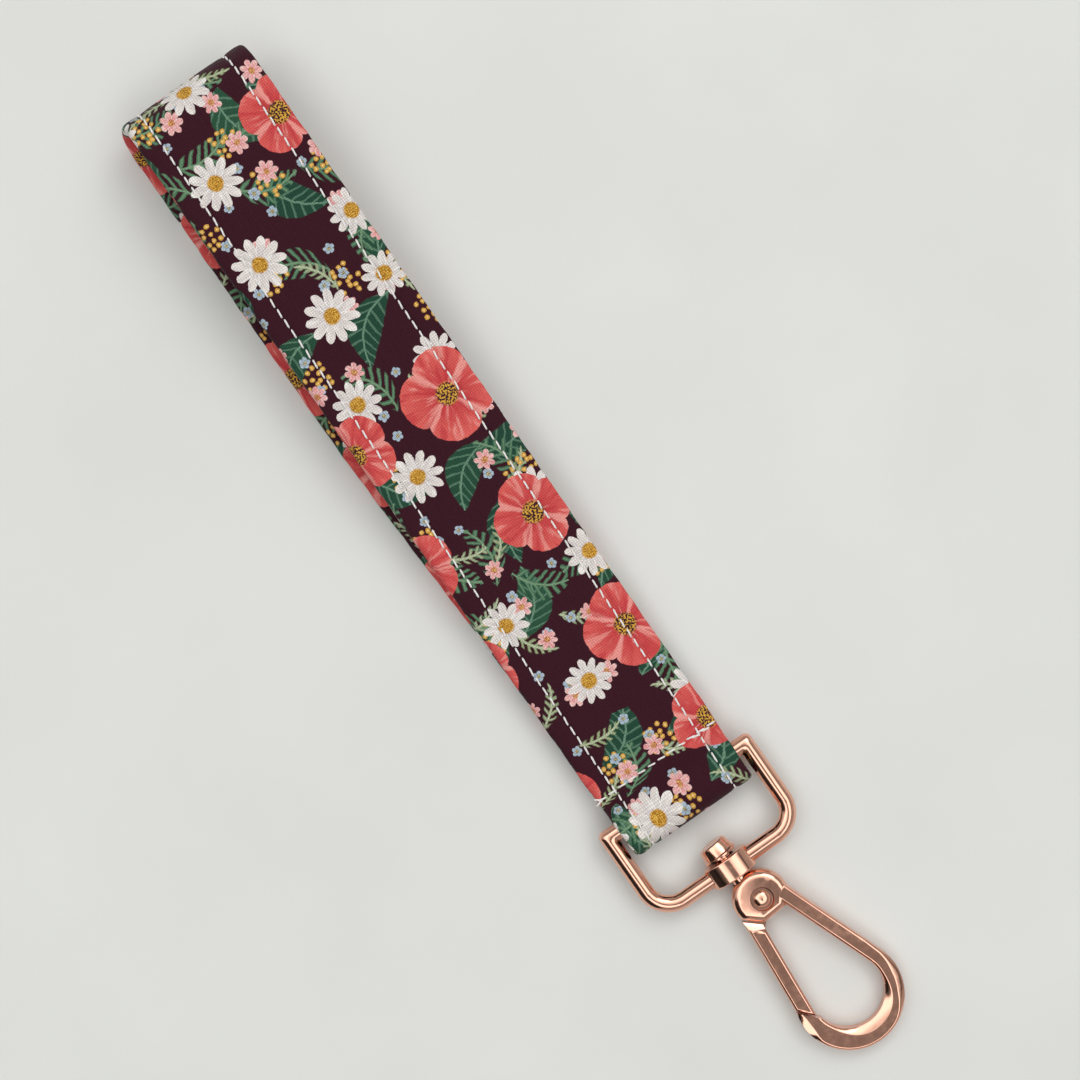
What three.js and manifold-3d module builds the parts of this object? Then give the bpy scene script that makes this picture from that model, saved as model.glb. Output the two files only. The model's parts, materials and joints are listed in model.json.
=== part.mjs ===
// Wristlet keychain: a sewn fabric wrist loop on the ring of a swivel snap hook with a push gate.
// Millimetres. It lies on a surface: X runs across the strap, Y along it with the wrist loop
// at +Y and the hook at -Y, and Z is up. The origin is under the middle of its outline.
import * as THREE from 'three';
import { mergeVertices } from 'three/addons/utils/BufferGeometryUtils.js';
import Module from 'manifold-3d';

const wasm = await Module();
wasm.setup();

// Strap: a one inch band of folded cotton, sewn into a flat loop
const STRAP_WIDTH = 25.4;
const STRAP_THICKNESS = 2.4;
const STRAP_LENGTH = 155;
const LOOP_OPENING = 11.6;
const LAYER_GAP = 0.3;
const UNDER_LAYER_SHIFT = 1.5;
const POCKET_NARROWING = 0.35;
const FOLD_PAST_BAR = 5.7;
const CROSS_STITCH_FROM_BAR = 6.2;
const END_SEAM_FROM_BAR = 20;
const END_SEAM_SLIT = 0.4;
const EDGE_SLIT = 0.3;
const CORE_POCKET_THICKNESS = 1.1;
const CORE_CLEARANCE = 0.25;
const TOP_LAYER_LEVEL_LENGTH = 2;
// How far in from the edge and out from the middle the rounding of an edge goes, in half
// thicknesses: the folded edge on the left, and the edge with the slit on the right
const FOLD_ROUNDING = [[0.15, 0.5], [0.6, 0.9]];
const OPEN_EDGE_ROUNDING = [[0.5, 0.95], [0, 0.5]];
const OPEN_EDGE_LIP = 0.25;

// Sewing thread
const STITCH_LINE_FROM_EDGE = 3.8;
const THREAD_WIDTH = 0.4;
const THREAD_THICKNESS = 0.16;
const THREAD_SIDE_ROOM = 0.15;
const THREAD_BELOW_FACE = 0.04;
const THREAD_CROSSING_GAP = 0.06;
const THREAD_FLOOR_GAP = 0.18;
const ZIGZAG_HALF_HEIGHT = 1.5;
const ZIGZAG_STEPS = 14;

// Clasp ring: round wire with a swivel collar in its lower bar
const WIRE_DIAMETER = 3;
const RING_SIDE_CLEARANCE = 0.35;
const RING_PITCH = 16.4;
const RING_UPPER_CORNER = 1.7;
const RING_LOWER_CORNER = 4.8;
const BAR_CLEARANCE = 0.3;
const COLLAR_LENGTH = 4;
const COLLAR_WIDTH = 8.6;
const COLLAR_HEIGHT = 6.2;
const COLLAR_CHAMFER = 1.6;
const COLLAR_BEVEL = 0.35;

// Swivel post: its shank turns in the collar, and its head stands inside the ring
const SHANK_DIAMETER = 3;
const RUNNING_GAP = 0.3;
const FLANGE_DIAMETER = 6.2;
const FLANGE_THICKNESS = 0.6;
const HEAD_DIAMETER = 5.5;
const HEAD_HEIGHT = 2.1;
const HEAD_TAPER = 0.1;
const HEAD_ROUNDING = 0.35;
const SHANK_ROUNDING = 0.2;
const SHANK_END_WALL = 0.25;
const HOOK_LEAN_DEG = 5;

// Hook: distances are down the swivel axis and across it, from the middle of the collar
const PIN_DOWN = 7.5;
const PIN_ACROSS = 0.7;
const BOSS_RADIUS = 5.1;
const BOSS_THICKNESS = 5;
const BOSS_BEVEL = 0.8;
const BOSS_INNER_SIDE = 3.7;
const BOSS_ARM_CORNER = 2.5;
const BOSS_ARC_END_DEG = -282;
const GATE_SIDE_RADIUS = 4.18;
const ARM_LEAN_DEG = 15.8;
const ARM_START_DOWN = 8.5;
const HOOK_THICKNESS = 3.6;
const HOOK_BEVEL = 0.8;
const BEND_OUTER_RADIUS = 9.7;
const BEND_OUTER_DOWN = 30.5;
const BEND_OUTER_ACROSS = 1.65;
const BEND_INNER_RADIUS = 6.5;
const BEND_INNER_DOWN = 29.85;
const BEND_INNER_ACROSS = 1.9;
const BEND_END_DEG = -120;
const ARM_WIDTH = 2.9;

// Gate: a bar beside the pin, with a tongue that turns on the pin in the slot of the boss
const GATE_LEAN_DEG = 9.2;
const GATE_OFFSET = 3.5;
const GATE_WIDTH = 2.8;
const GATE_THICKNESS = 3.4;
const GATE_BEVEL = 0.55;
const GATE_LENGTH = 21.5;
const GATE_TIP_ANGLE_DEG = 46.5;
const SHOULDER_NORMAL_DEG = -36.9;
const GATE_GAP = 0.35;
const TONGUE_RADIUS = 2.9;
const TONGUE_THICKNESS = 2.2;
const SLOT_CLEARANCE = 0.3;
const SLOT_MOUTH_DEG = [-88, -60, -30, 0, 28];
const WEB_INTO_BAR = 0.9;
const WEB_INSET = 0.2;

// Gate pin and spring
const PIN_DIAMETER = 1.6;
const PIN_CLEARANCE = 0.3;
const PIN_HEAD_RADIUS = 1.4;
const PIN_HEAD_HEIGHT = 0.5;
// The dome of a pin head, in shares of its radius and height
const PIN_DOME = [[1, 0.4], [0.75, 0.85], [0, 1]];
const PIN_RECESS_RADIUS = 2.1;
const PIN_RECESS_DEPTH = 0.55;
const SPRING_WIRE = 0.3;
const SPRING_RADIUS = 1.42;
const SPRING_COILS = 2.25;
const SPRING_PITCH = 0.49;
const SPRING_LEG = 2.75;
const SPRING_START_DEG = 295;
const SPRING_POCKET_DEPTH = 1.6;
const SPRING_FLOOR_GAP = 0.15;
const SPRING_SIDE_GAP = 0.28;
const SPRING_LEG_ROOM = 0.25;
const LEG_SWEEP_DEG = [45, 62, 80, 97];
const COIL_STEPS = 8;

const ROUND_SIDES = 20;
const WIRE_SIDES = 10;

const half = STRAP_THICKNESS / 2;
const stitchLine = STRAP_WIDTH / 2 - STITCH_LINE_FROM_EDGE;
const wireRadius = WIRE_DIAMETER / 2;
const barHeight = STRAP_THICKNESS + BAR_CLEARANCE + wireRadius;
const foldRadius = wireRadius + BAR_CLEARANCE + half;
const foldCentre = -(FOLD_PAST_BAR - foldRadius - half);
const topLayerHeight = 1.5 * STRAP_THICKNESS + LAYER_GAP;
const bendRadius = (LOOP_OPENING + STRAP_THICKNESS) / 2;
const bendCentre = STRAP_LENGTH - FOLD_PAST_BAR - bendRadius - half;
const threadDepth = THREAD_BELOW_FACE + THREAD_THICKNESS;
const crossGrooveDepth = threadDepth + THREAD_FLOOR_GAP;
const seamThreadDepth = threadDepth + THREAD_CROSSING_GAP;
const valleyDepth = seamThreadDepth + THREAD_THICKNESS + THREAD_FLOOR_GAP;
const valleyFloor = THREAD_WIDTH / 2 + THREAD_SIDE_ROOM;
const valleyTop = valleyFloor + valleyDepth;
const corePocketHalf = stitchLine - valleyTop - CORE_CLEARANCE;

const radians = THREE.MathUtils.degToRad;
const smooth = (t) => THREE.MathUtils.smoothstep(t, 0, 1);

const finishes = {
  fabric: new THREE.MeshStandardMaterial({ color: '#4b1a2c', roughness: 0.9, metalness: 0 }),
  interfacing: new THREE.MeshStandardMaterial({ color: '#e8e4da', roughness: 0.95, metalness: 0 }),
  thread: new THREE.MeshStandardMaterial({ color: '#f1ece6', roughness: 0.7, metalness: 0 }),
  roseGold: new THREE.MeshStandardMaterial({ color: '#d9967a', roughness: 0.22, metalness: 1 }),
  springSteel: new THREE.MeshStandardMaterial({ color: '#b9bcc0', roughness: 0.35, metalness: 1 }),
};

function toSolid(geometry) {
  const bare = geometry.index ? geometry.clone() : mergeVertices(geometry);
  bare.deleteAttribute('normal');
  bare.deleteAttribute('uv');
  const merged = mergeVertices(bare, 1e-4);
  return new wasm.Manifold(new wasm.Mesh({
    numProp: 3,
    vertProperties: new Float32Array(merged.attributes.position.array),
    triVerts: new Uint32Array(merged.index.array),
  }));
}

function toGeometry(solid) {
  const mesh = solid.getMesh();
  const geometry = new THREE.BufferGeometry();
  geometry.setAttribute('position', new THREE.BufferAttribute(mesh.vertProperties, 3));
  geometry.setIndex(new THREE.BufferAttribute(mesh.triVerts, 1));
  return geometry;
}

// Turns a closed mesh right side out
function facingOut(geometry) {
  const [p, index] = [geometry.attributes.position, geometry.index.array];
  const [a, b, c] = [new THREE.Vector3(), new THREE.Vector3(), new THREE.Vector3()];
  let volume = 0;
  for (let i = 0; i < index.length; i += 3) {
    a.fromBufferAttribute(p, index[i]);
    b.fromBufferAttribute(p, index[i + 1]);
    c.fromBufferAttribute(p, index[i + 2]);
    volume += a.dot(b.cross(c));
  }
  if (volume < 0) index.reverse();
  return geometry;
}

// Skins a row of equal rings of points. An open row is capped by the triangles of its section.
function loft(rings, section = null) {
  const sides = rings[0].length;
  const positions = rings.flat().flatMap((point) => point.toArray());
  const triangles = [];
  const spans = section ? rings.length - 1 : rings.length;
  for (let i = 0; i < spans; i += 1) {
    const next = (i + 1) % rings.length;
    for (let j = 0; j < sides; j += 1) {
      const k = (j + 1) % sides;
      const [a, b] = [i * sides + j, i * sides + k];
      const [c, d] = [next * sides + j, next * sides + k];
      triangles.push(a, b, d, a, d, c);
    }
  }
  if (section) {
    const last = (rings.length - 1) * sides;
    const turned = THREE.ShapeUtils.isClockWise(section);
    for (const [p, q, r] of THREE.ShapeUtils.triangulateShape(section.map((v) => v.clone()), [])) {
      const [s, t] = turned ? [p, r] : [r, p];
      triangles.push(s, q, t, last + t, last + q, last + s);
    }
  }
  const geometry = new THREE.BufferGeometry();
  geometry.setAttribute('position', new THREE.Float32BufferAttribute(positions, 3));
  geometry.setIndex(triangles);
  return facingOut(geometry);
}

// A flat outline given a thickness, centred on Z = 0, with bevelled rims
function plate(shape, thickness, bevel = 0) {
  const geometry = new THREE.ExtrudeGeometry(shape, {
    depth: thickness - 2 * bevel,
    bevelEnabled: bevel > 0,
    bevelThickness: bevel,
    bevelSize: bevel,
    bevelOffset: -bevel,
    bevelSegments: 2,
  });
  return geometry.translate(0, 0, bevel - thickness / 2);
}

function disc(radius, thickness, x, y, z = 0) {
  return new THREE.CylinderGeometry(radius, radius, thickness, ROUND_SIDES)
    .rotateX(Math.PI / 2).translate(x, y, z);
}

function polygon(points) {
  return new THREE.Shape(points.map(([x, y]) => new THREE.Vector2(x, y)));
}

function named(name, geometry, material) {
  const mesh = new THREE.Mesh(geometry, material);
  mesh.name = name;
  return mesh;
}

// The middle line of the strap, seen from the side, as stations of a loft. It runs from the
// end seam along the under layer, round the wrist loop's bend, back along the top layer, over
// the clasp bar, round the fold and under the bar to the seam again.
function strapStations() {
  const stations = [];
  const add = (y, z, outerInset = 0, innerInset = 0) => {
    stations.push({ y, z, outerInset, innerInset });
  };
  const addOnArc = (y, z, radius, angle) => {
    const out = [Math.cos(angle), Math.sin(angle)];
    stations.push({
      y: y + radius * out[0], z: z + radius * out[1], outerInset: 0, innerInset: 0, out,
    });
  };
  const span = (from, to, steps, height) => {
    for (let i = 0; i <= steps; i += 1) {
      const y = THREE.MathUtils.lerp(from, to, i / steps);
      add(y, height(y));
    }
  };
  const seam = END_SEAM_FROM_BAR;
  const seamEdge = END_SEAM_SLIT / 2;
  const seamInset = ZIGZAG_HALF_HEIGHT + THREAD_WIDTH;
  const grooveTop = valleyFloor + THREAD_FLOOR_GAP;
  const crossStitch = CROSS_STITCH_FROM_BAR;
  const groove = (z, heading) => {
    add(crossStitch - heading * grooveTop, z);
    add(crossStitch - heading * valleyFloor, z, crossGrooveDepth);
    add(crossStitch + heading * valleyFloor, z, crossGrooveDepth);
    add(crossStitch + heading * grooveTop, z);
  };

  add(seam + seamEdge, half, crossGrooveDepth, crossGrooveDepth);
  add(seam + seamInset, half, crossGrooveDepth, crossGrooveDepth);
  span(seam + seamInset + THREAD_FLOOR_GAP, bendCentre - bendRadius / 2, 5, () => half);

  const bendSteps = 12;
  for (let i = 0; i <= bendSteps; i += 1) {
    addOnArc(bendCentre, half + bendRadius, bendRadius, Math.PI * (i / bendSteps - 1 / 2));
  }

  const settled = crossStitch + TOP_LAYER_LEVEL_LENGTH;
  const bendTop = half + 2 * bendRadius;
  const risen = (y) => topLayerHeight
    + (bendTop - topLayerHeight) * smooth((y - settled) / (bendCentre - settled));
  span(bendCentre - bendRadius / 2, settled, 12, risen);
  groove(topLayerHeight, -1);

  const overBar = barHeight + foldRadius;
  const rampFoot = crossStitch - grooveTop - LAYER_GAP;
  const ramp = (y) => topLayerHeight + (overBar - topLayerHeight) * smooth(1 - y / rampFoot);
  span(rampFoot, 0, 5, ramp);

  const foldSteps = 8;
  for (let i = 0; i <= foldSteps; i += 1) {
    addOnArc(foldCentre, barHeight, foldRadius, Math.PI * (i / foldSteps + 1 / 2));
  }
  groove(half, 1);
  add(seam - seamInset - THREAD_FLOOR_GAP, half);
  add(seam - seamInset, half, crossGrooveDepth, crossGrooveDepth);
  add(seam - seamEdge, half, crossGrooveDepth, crossGrooveDepth);

  const farEnd = STRAP_LENGTH - FOLD_PAST_BAR;
  stations.forEach((station, i) => {
    const before = stations[Math.max(i - 1, 0)];
    const after = stations[Math.min(i + 1, stations.length - 1)];
    const along = new THREE.Vector2(after.y - before.y, after.z - before.z).normalize();
    [station.outY, station.outZ] = station.out ?? [along.y, -along.x];
    const level = THREE.MathUtils.clamp((station.z - half) / (bendTop - half), 0, 1);
    const under = station.y > bendCentre ? 1 - smooth(level) : Number(station.z === half);
    station.x = -UNDER_LAYER_SHIFT * under * smooth((station.y - seam) / (farEnd - seam));
    const pocket = 1 - smooth((station.y - foldCentre) / (2 * CROSS_STITCH_FROM_BAR));
    station.narrowing = POCKET_NARROWING * pocket;
  });
  return stations;
}

const stations = strapStations();

// A station's point at a distance across the strap and a distance out from its middle line
function strapPoint(station, across, out) {
  return new THREE.Vector3(
    station.x + across,
    station.y + out * station.outY,
    station.z + out * station.outZ,
  );
}

// The band's section: a fold on the left, two folded edges meeting at a slit on the right,
// a thin pocket for the interfacing between the seams, and a valley under each stitch line
function coverSection(station) {
  const edge = STRAP_WIDTH / 2 - station.narrowing;
  const slit = EDGE_SLIT / 2;
  const pocket = CORE_POCKET_THICKNESS / 2;
  const face = (inset) => {
    const top = half - inset;
    const floor = Math.min(half - valleyDepth, top);
    const valley = (middle) => [
      [middle - valleyTop, top],
      [middle - valleyFloor, floor],
      [middle + valleyFloor, floor],
      [middle + valleyTop, top],
    ];
    return [
      ...FOLD_ROUNDING.map(([x, z]) => [x * half - edge, Math.min(z * half, top)]),
      ...valley(-stitchLine),
      ...valley(stitchLine),
      ...OPEN_EDGE_ROUNDING.map(([x, z]) => [edge - x * half, Math.min(z * half, top)]),
      [edge - OPEN_EDGE_LIP * half, slit],
      [corePocketHalf, slit],
      [corePocketHalf, pocket],
      [-corePocketHalf, pocket],
    ];
  };
  const inner = face(station.innerInset).map(([across, out]) => [across, -out]).reverse();
  return [[-edge, 0], ...face(station.outerInset), ...inner]
    .map(([across, out]) => new THREE.Vector2(across, out));
}

function strapBand(sectionAt, from = 0, to = stations.length) {
  const used = stations.slice(from, to);
  const rings = used.map((station) => sectionAt(station)
    .map((point) => strapPoint(station, point.x, point.y)));
  return loft(rings, sectionAt(used[0]));
}

function rectangleSection(left, right, low, high) {
  return [[left, low], [right, low], [right, high], [left, high]]
    .map(([across, out]) => new THREE.Vector2(across, out));
}

function strapCore() {
  const width = corePocketHalf - CORE_CLEARANCE;
  const thick = CORE_POCKET_THICKNESS / 2 - CORE_CLEARANCE;
  return strapBand(() => rectangleSection(-width, width, -thick, thick));
}

// One thread of a lockstitch line along the whole strap: side is -1 left or 1 right, and
// face is 1 on the outside of the loop or -1 inside it
function topstitch(side, face) {
  const middle = side * stitchLine;
  const near = face * (half - seamThreadDepth);
  const far = face * (half - seamThreadDepth - THREAD_THICKNESS);
  const section = () => rectangleSection(
    middle - THREAD_WIDTH / 2,
    middle + THREAD_WIDTH / 2,
    Math.min(near, far),
    Math.max(near, far),
  );
  return strapBand(section, 2, stations.length - 2);
}

function crossStitch(height) {
  const length = STRAP_WIDTH - 2 * (POCKET_NARROWING + half);
  return new THREE.BoxGeometry(length, THREAD_WIDTH, THREAD_THICKNESS)
    .translate(0, CROSS_STITCH_FROM_BAR, height);
}

// The end seam: a zigzag across the slit where the two ends of the band meet
function endSeamZigzag(height) {
  const reach = STRAP_WIDTH / 2 - half - THREAD_WIDTH;
  const crest = ZIGZAG_HALF_HEIGHT - THREAD_WIDTH / 2;
  const line = [];
  for (let i = 0; i <= ZIGZAG_STEPS; i += 1) {
    const across = THREE.MathUtils.lerp(-reach, reach, i / ZIGZAG_STEPS);
    line.push([across, END_SEAM_FROM_BAR + (i % 2 ? crest : -crest)]);
  }
  const upper = line.map(([x, y]) => [x, y + THREAD_WIDTH / 2]);
  const lower = line.map(([x, y]) => [x, y - THREAD_WIDTH / 2]).reverse();
  return plate(polygon([...lower, ...upper]), THREAD_THICKNESS).translate(0, 0, height);
}

// The ring lies in its own XY plane, with the strap's bar on the X axis
const ringHalfWidth = STRAP_WIDTH / 2 + RING_SIDE_CLEARANCE + wireRadius;
const collarBore = SHANK_DIAMETER / 2 + RUNNING_GAP
  + (COLLAR_LENGTH / 2) * Math.tan(radians(HOOK_LEAN_DEG));

function ringFrame() {
  const rings = [];
  const corner = (x, y, radius, from, steps) => {
    for (let i = 0; i <= steps; i += 1) {
      const turn = radians(from + (90 * i) / steps);
      const out = new THREE.Vector3(Math.cos(turn), Math.sin(turn), 0);
      const middle = new THREE.Vector3(x, y, 0).addScaledVector(out, radius);
      const ring = [];
      for (let j = 0; j < WIRE_SIDES; j += 1) {
        const angle = (2 * Math.PI * (j + 0.5)) / WIRE_SIDES;
        ring.push(middle.clone().addScaledVector(out, wireRadius * Math.cos(angle))
          .setZ(wireRadius * Math.sin(angle)));
      }
      rings.push(ring);
    }
  };
  const [upper, lower] = [RING_UPPER_CORNER, RING_LOWER_CORNER];
  corner(ringHalfWidth - lower, lower - RING_PITCH, lower, -90, 6);
  corner(ringHalfWidth - upper, -upper, upper, 0, 4);
  corner(upper - ringHalfWidth, -upper, upper, 90, 4);
  corner(lower - ringHalfWidth, lower - RING_PITCH, lower, 180, 6);
  const [w, h, c] = [COLLAR_WIDTH / 2, COLLAR_HEIGHT / 2, COLLAR_CHAMFER];
  const collar = plate(polygon([
    [-w, c - h], [c - w, -h], [w - c, -h], [w, c - h],
    [w, h - c], [w - c, h], [c - w, h], [-w, h - c],
  ]), COLLAR_LENGTH, COLLAR_BEVEL).rotateX(Math.PI / 2).translate(0, -RING_PITCH, 0);
  const bore = new THREE.CylinderGeometry(collarBore, collarBore, 2 * COLLAR_LENGTH, ROUND_SIDES)
    .translate(0, -RING_PITCH, 0);
  return toGeometry(toSolid(loft(rings)).add(toSolid(collar)).subtract(toSolid(bore)));
}

// The hook lies in its own XY plane, with the middle of the collar at the origin, the swivel
// axis along Y, and the hook at -Y: a point is given by its distance down and across
const at = (down, across) => [across, -down];
const slotThickness = TONGUE_THICKNESS + 2 * SLOT_CLEARANCE;
const slotRadius = TONGUE_RADIUS + GATE_GAP;
const headFace = COLLAR_LENGTH / 2 + RUNNING_GAP
  + (FLANGE_DIAMETER / 2) * Math.tan(radians(HOOK_LEAN_DEG));
const shankEnd = PIN_DOWN - slotRadius - SHANK_END_WALL;

function swivelPost() {
  const shank = SHANK_DIAMETER / 2;
  const flange = FLANGE_DIAMETER / 2;
  const head = HEAD_DIAMETER / 2;
  const top = headFace + FLANGE_THICKNESS + HEAD_HEIGHT;
  const profile = [
    [0, -shankEnd],
    [shank - SHANK_ROUNDING, -shankEnd],
    [shank, SHANK_ROUNDING - shankEnd],
    [shank, headFace],
    [flange, headFace],
    [flange, headFace + FLANGE_THICKNESS / 2],
    [head, headFace + FLANGE_THICKNESS],
    [head - HEAD_TAPER, top - HEAD_ROUNDING],
    [head - HEAD_TAPER - HEAD_ROUNDING, top],
    [0, top],
  ].map(([r, y]) => new THREE.Vector2(r, y));
  return toGeometry(toSolid(new THREE.LatheGeometry(profile, ROUND_SIDES)));
}

const toGate = radians(-GATE_LEAN_DEG);

// From the gate's own lines, along it and to its arm side, to down and across
function gatePoint(along, beside) {
  const down = along * Math.cos(toGate) - beside * Math.sin(toGate);
  const across = along * Math.sin(toGate) + beside * Math.cos(toGate);
  return at(PIN_DOWN + down, PIN_ACROSS + across);
}

const gateInner = GATE_WIDTH / 2 - GATE_OFFSET;
const gateOuter = -GATE_WIDTH / 2 - GATE_OFFSET;
const tipSlope = 1 / Math.tan(radians(GATE_TIP_ANGLE_DEG));

// Where the shoulder line, at a distance from the pin, meets a line beside the gate
function shoulderAlong(distance, beside) {
  const turn = radians(SHOULDER_NORMAL_DEG);
  return (distance - beside * Math.sin(turn)) / Math.cos(turn);
}

// Where the tip's slanting end, moved along the gate by a gap, meets a line beside the gate
function tipAlong(gap, beside) {
  return GATE_LENGTH + gap + (beside + GATE_OFFSET) * tipSlope;
}

function bossShape() {
  const neck = radians(SHOULDER_NORMAL_DEG - GATE_LEAN_DEG);
  const innerTurn = -Math.acos(BOSS_INNER_SIDE / GATE_SIDE_RADIUS);
  const outerTurn = neck - Math.acos(GATE_SIDE_RADIUS / BOSS_RADIUS);
  const points = [[BOSS_INNER_SIDE, BOSS_ARM_CORNER]];
  const arc = (radius, from, to, steps) => {
    for (let i = 0; i <= steps; i += 1) {
      const turn = THREE.MathUtils.lerp(from, to, i / steps);
      points.push([radius * Math.cos(turn), radius * Math.sin(turn)]);
    }
  };
  arc(GATE_SIDE_RADIUS, innerTurn, neck, 3);
  arc(BOSS_RADIUS, outerTurn, radians(BOSS_ARC_END_DEG), 14);
  return polygon(points.map(([down, across]) => at(PIN_DOWN + down, PIN_ACROSS + across)));
}

// The arm and the bend as one loft: flat faces with bevelled edges
function hookBar() {
  const rings = [];
  const section = (inner, outer) => {
    const across = outer.clone().sub(inner);
    const width = across.length();
    across.normalize();
    const [t, b] = [HOOK_THICKNESS / 2, HOOK_BEVEL];
    return [
      [0, b - t], [b, -t], [width - b, -t], [width, b - t],
      [width, t - b], [width - b, t], [b, t], [0, t - b],
    ].map(([along, z]) => {
      const point = inner.clone().addScaledVector(across, along);
      return new THREE.Vector3(point.x, point.y, z);
    });
  };
  const lean = radians(ARM_LEAN_DEG);
  const start = radians(90 + ARM_LEAN_DEG);
  const bendPoint = (down, across, radius, turn) => new THREE.Vector2(
    ...at(down + radius * Math.cos(turn), across + radius * Math.sin(turn)),
  );
  const inner = (turn) => bendPoint(BEND_INNER_DOWN, BEND_INNER_ACROSS, BEND_INNER_RADIUS, turn);
  const outer = (turn) => bendPoint(BEND_OUTER_DOWN, BEND_OUTER_ACROSS, BEND_OUTER_RADIUS, turn);
  const back = (-ARM_START_DOWN - inner(start).y) / Math.cos(lean);
  const armInner = inner(start).add(
    new THREE.Vector2(-Math.sin(lean), Math.cos(lean)).multiplyScalar(back),
  );
  const armOuter = armInner.clone().add(
    new THREE.Vector2(Math.cos(lean), Math.sin(lean)).multiplyScalar(ARM_WIDTH),
  );
  rings.push(section(armInner, armOuter));
  const steps = 22;
  for (let i = 0; i <= steps; i += 1) {
    const turn = THREE.MathUtils.lerp(start, radians(BEND_END_DEG), i / steps);
    rings.push(section(inner(turn), outer(turn)));
  }
  const cap = section(new THREE.Vector2(0, 0), new THREE.Vector2(ARM_WIDTH, 0))
    .map((point) => new THREE.Vector2(point.x, point.z));
  return loft(rings, cap);
}

function hookBody() {
  const pin = at(PIN_DOWN, PIN_ACROSS);
  const reach = BOSS_RADIUS + GATE_GAP;
  const atReach = (deg) => at(
    PIN_DOWN + reach * Math.cos(radians(deg)),
    PIN_ACROSS + reach * Math.sin(radians(deg)),
  );
  let body = toSolid(plate(bossShape(), BOSS_THICKNESS, BOSS_BEVEL)).add(toSolid(hookBar()));

  const pastTip = 3 * GATE_WIDTH;
  const tipCut = polygon([
    gatePoint(tipAlong(GATE_GAP, -pastTip), -pastTip),
    gatePoint(tipAlong(GATE_GAP, 0), 0),
    gatePoint(GATE_LENGTH / 2, 0),
    gatePoint(GATE_LENGTH / 2, -pastTip),
  ]);
  body = body.subtract(toSolid(plate(tipCut, 2 * HOOK_THICKNESS)));

  body = body.subtract(toSolid(disc(slotRadius, slotThickness, ...pin)));
  const mouth = polygon([pin, ...SLOT_MOUTH_DEG.map(atReach)]);
  body = body.subtract(toSolid(plate(mouth, slotThickness)));

  const hole = PIN_DIAMETER / 2 + PIN_CLEARANCE;
  body = body.subtract(toSolid(disc(hole, 2 * BOSS_THICKNESS, ...pin)));
  for (const side of [-1, 1]) {
    const recess = disc(PIN_RECESS_RADIUS, 2 * PIN_RECESS_DEPTH, ...pin, side * BOSS_THICKNESS / 2);
    body = body.subtract(toSolid(recess));
  }
  const socket = SHANK_DIAMETER / 2 + RUNNING_GAP;
  const bore = new THREE.CylinderGeometry(socket, socket, shankEnd, ROUND_SIDES)
    .translate(0, -shankEnd / 2 - RUNNING_GAP, 0);
  return toGeometry(body.subtract(toSolid(bore)));
}

// The direction in which a straight leg leaves the spring, and where it starts
function springLeg(deg, sense) {
  const turn = radians(deg);
  const [x, y] = at(PIN_DOWN, PIN_ACROSS);
  return {
    start: new THREE.Vector3(x + SPRING_RADIUS * Math.cos(turn), y + SPRING_RADIUS * Math.sin(turn), 0),
    along: new THREE.Vector3(-sense * Math.sin(turn), sense * Math.cos(turn), 0),
  };
}

const springBottom = TONGUE_THICKNESS / 2 - SPRING_POCKET_DEPTH + SPRING_FLOOR_GAP
  + SPRING_WIRE / 2;

function gate() {
  const barStart = (beside) => shoulderAlong(GATE_SIDE_RADIUS + GATE_GAP, beside);
  const bar = polygon([
    gatePoint(barStart(gateOuter), gateOuter),
    gatePoint(tipAlong(0, gateOuter), gateOuter),
    gatePoint(tipAlong(0, gateInner), gateInner),
    gatePoint(barStart(gateInner), gateInner),
  ]);
  let body = toSolid(plate(bar, GATE_THICKNESS, GATE_BEVEL));

  const pin = at(PIN_DOWN, PIN_ACROSS);
  const web = polygon([
    gatePoint(WEB_INTO_BAR, WEB_INSET - TONGUE_RADIUS),
    gatePoint(barStart(gateOuter) + WEB_INTO_BAR, gateOuter + WEB_INSET),
    gatePoint(barStart(gateInner) + WEB_INTO_BAR, gateInner - WEB_INSET),
    gatePoint(TONGUE_RADIUS - WEB_INSET, 0),
    gatePoint(0, 0),
  ]);
  body = body.add(toSolid(disc(TONGUE_RADIUS, TONGUE_THICKNESS, ...pin)))
    .add(toSolid(plate(web, TONGUE_THICKNESS)));

  const pocketMiddle = TONGUE_THICKNESS / 2;
  const pocketRadius = SPRING_RADIUS + SPRING_WIRE / 2 + SPRING_SIDE_GAP;
  const doubled = 2 * SPRING_POCKET_DEPTH;
  body = body.subtract(toSolid(disc(pocketRadius, doubled, ...pin, pocketMiddle)));

  const sweep = LEG_SWEEP_DEG.map((deg) => {
    const turn = radians(deg);
    return [pin[0] + 2 * SPRING_LEG * Math.cos(turn), pin[1] + 2 * SPRING_LEG * Math.sin(turn)];
  });
  body = body.subtract(toSolid(plate(polygon([pin, ...sweep]), doubled)
    .translate(0, 0, pocketMiddle)));

  const { start, along } = springLeg(SPRING_START_DEG, -1);
  const side = new THREE.Vector3(-along.y, along.x, 0)
    .multiplyScalar(SPRING_WIRE / 2 + SPRING_LEG_ROOM);
  const end = start.clone().addScaledVector(along, SPRING_LEG + 2 * SPRING_LEG_ROOM);
  const groove = polygon([start.clone().add(side), start.clone().sub(side),
    end.clone().sub(side), end.clone().add(side)].map((point) => [point.x, point.y]));
  body = body.subtract(toSolid(plate(groove, doubled).translate(0, 0, pocketMiddle)));

  const hole = PIN_DIAMETER / 2 + PIN_CLEARANCE;
  return toGeometry(body.subtract(toSolid(disc(hole, 2 * BOSS_THICKNESS, ...pin))));
}

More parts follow.
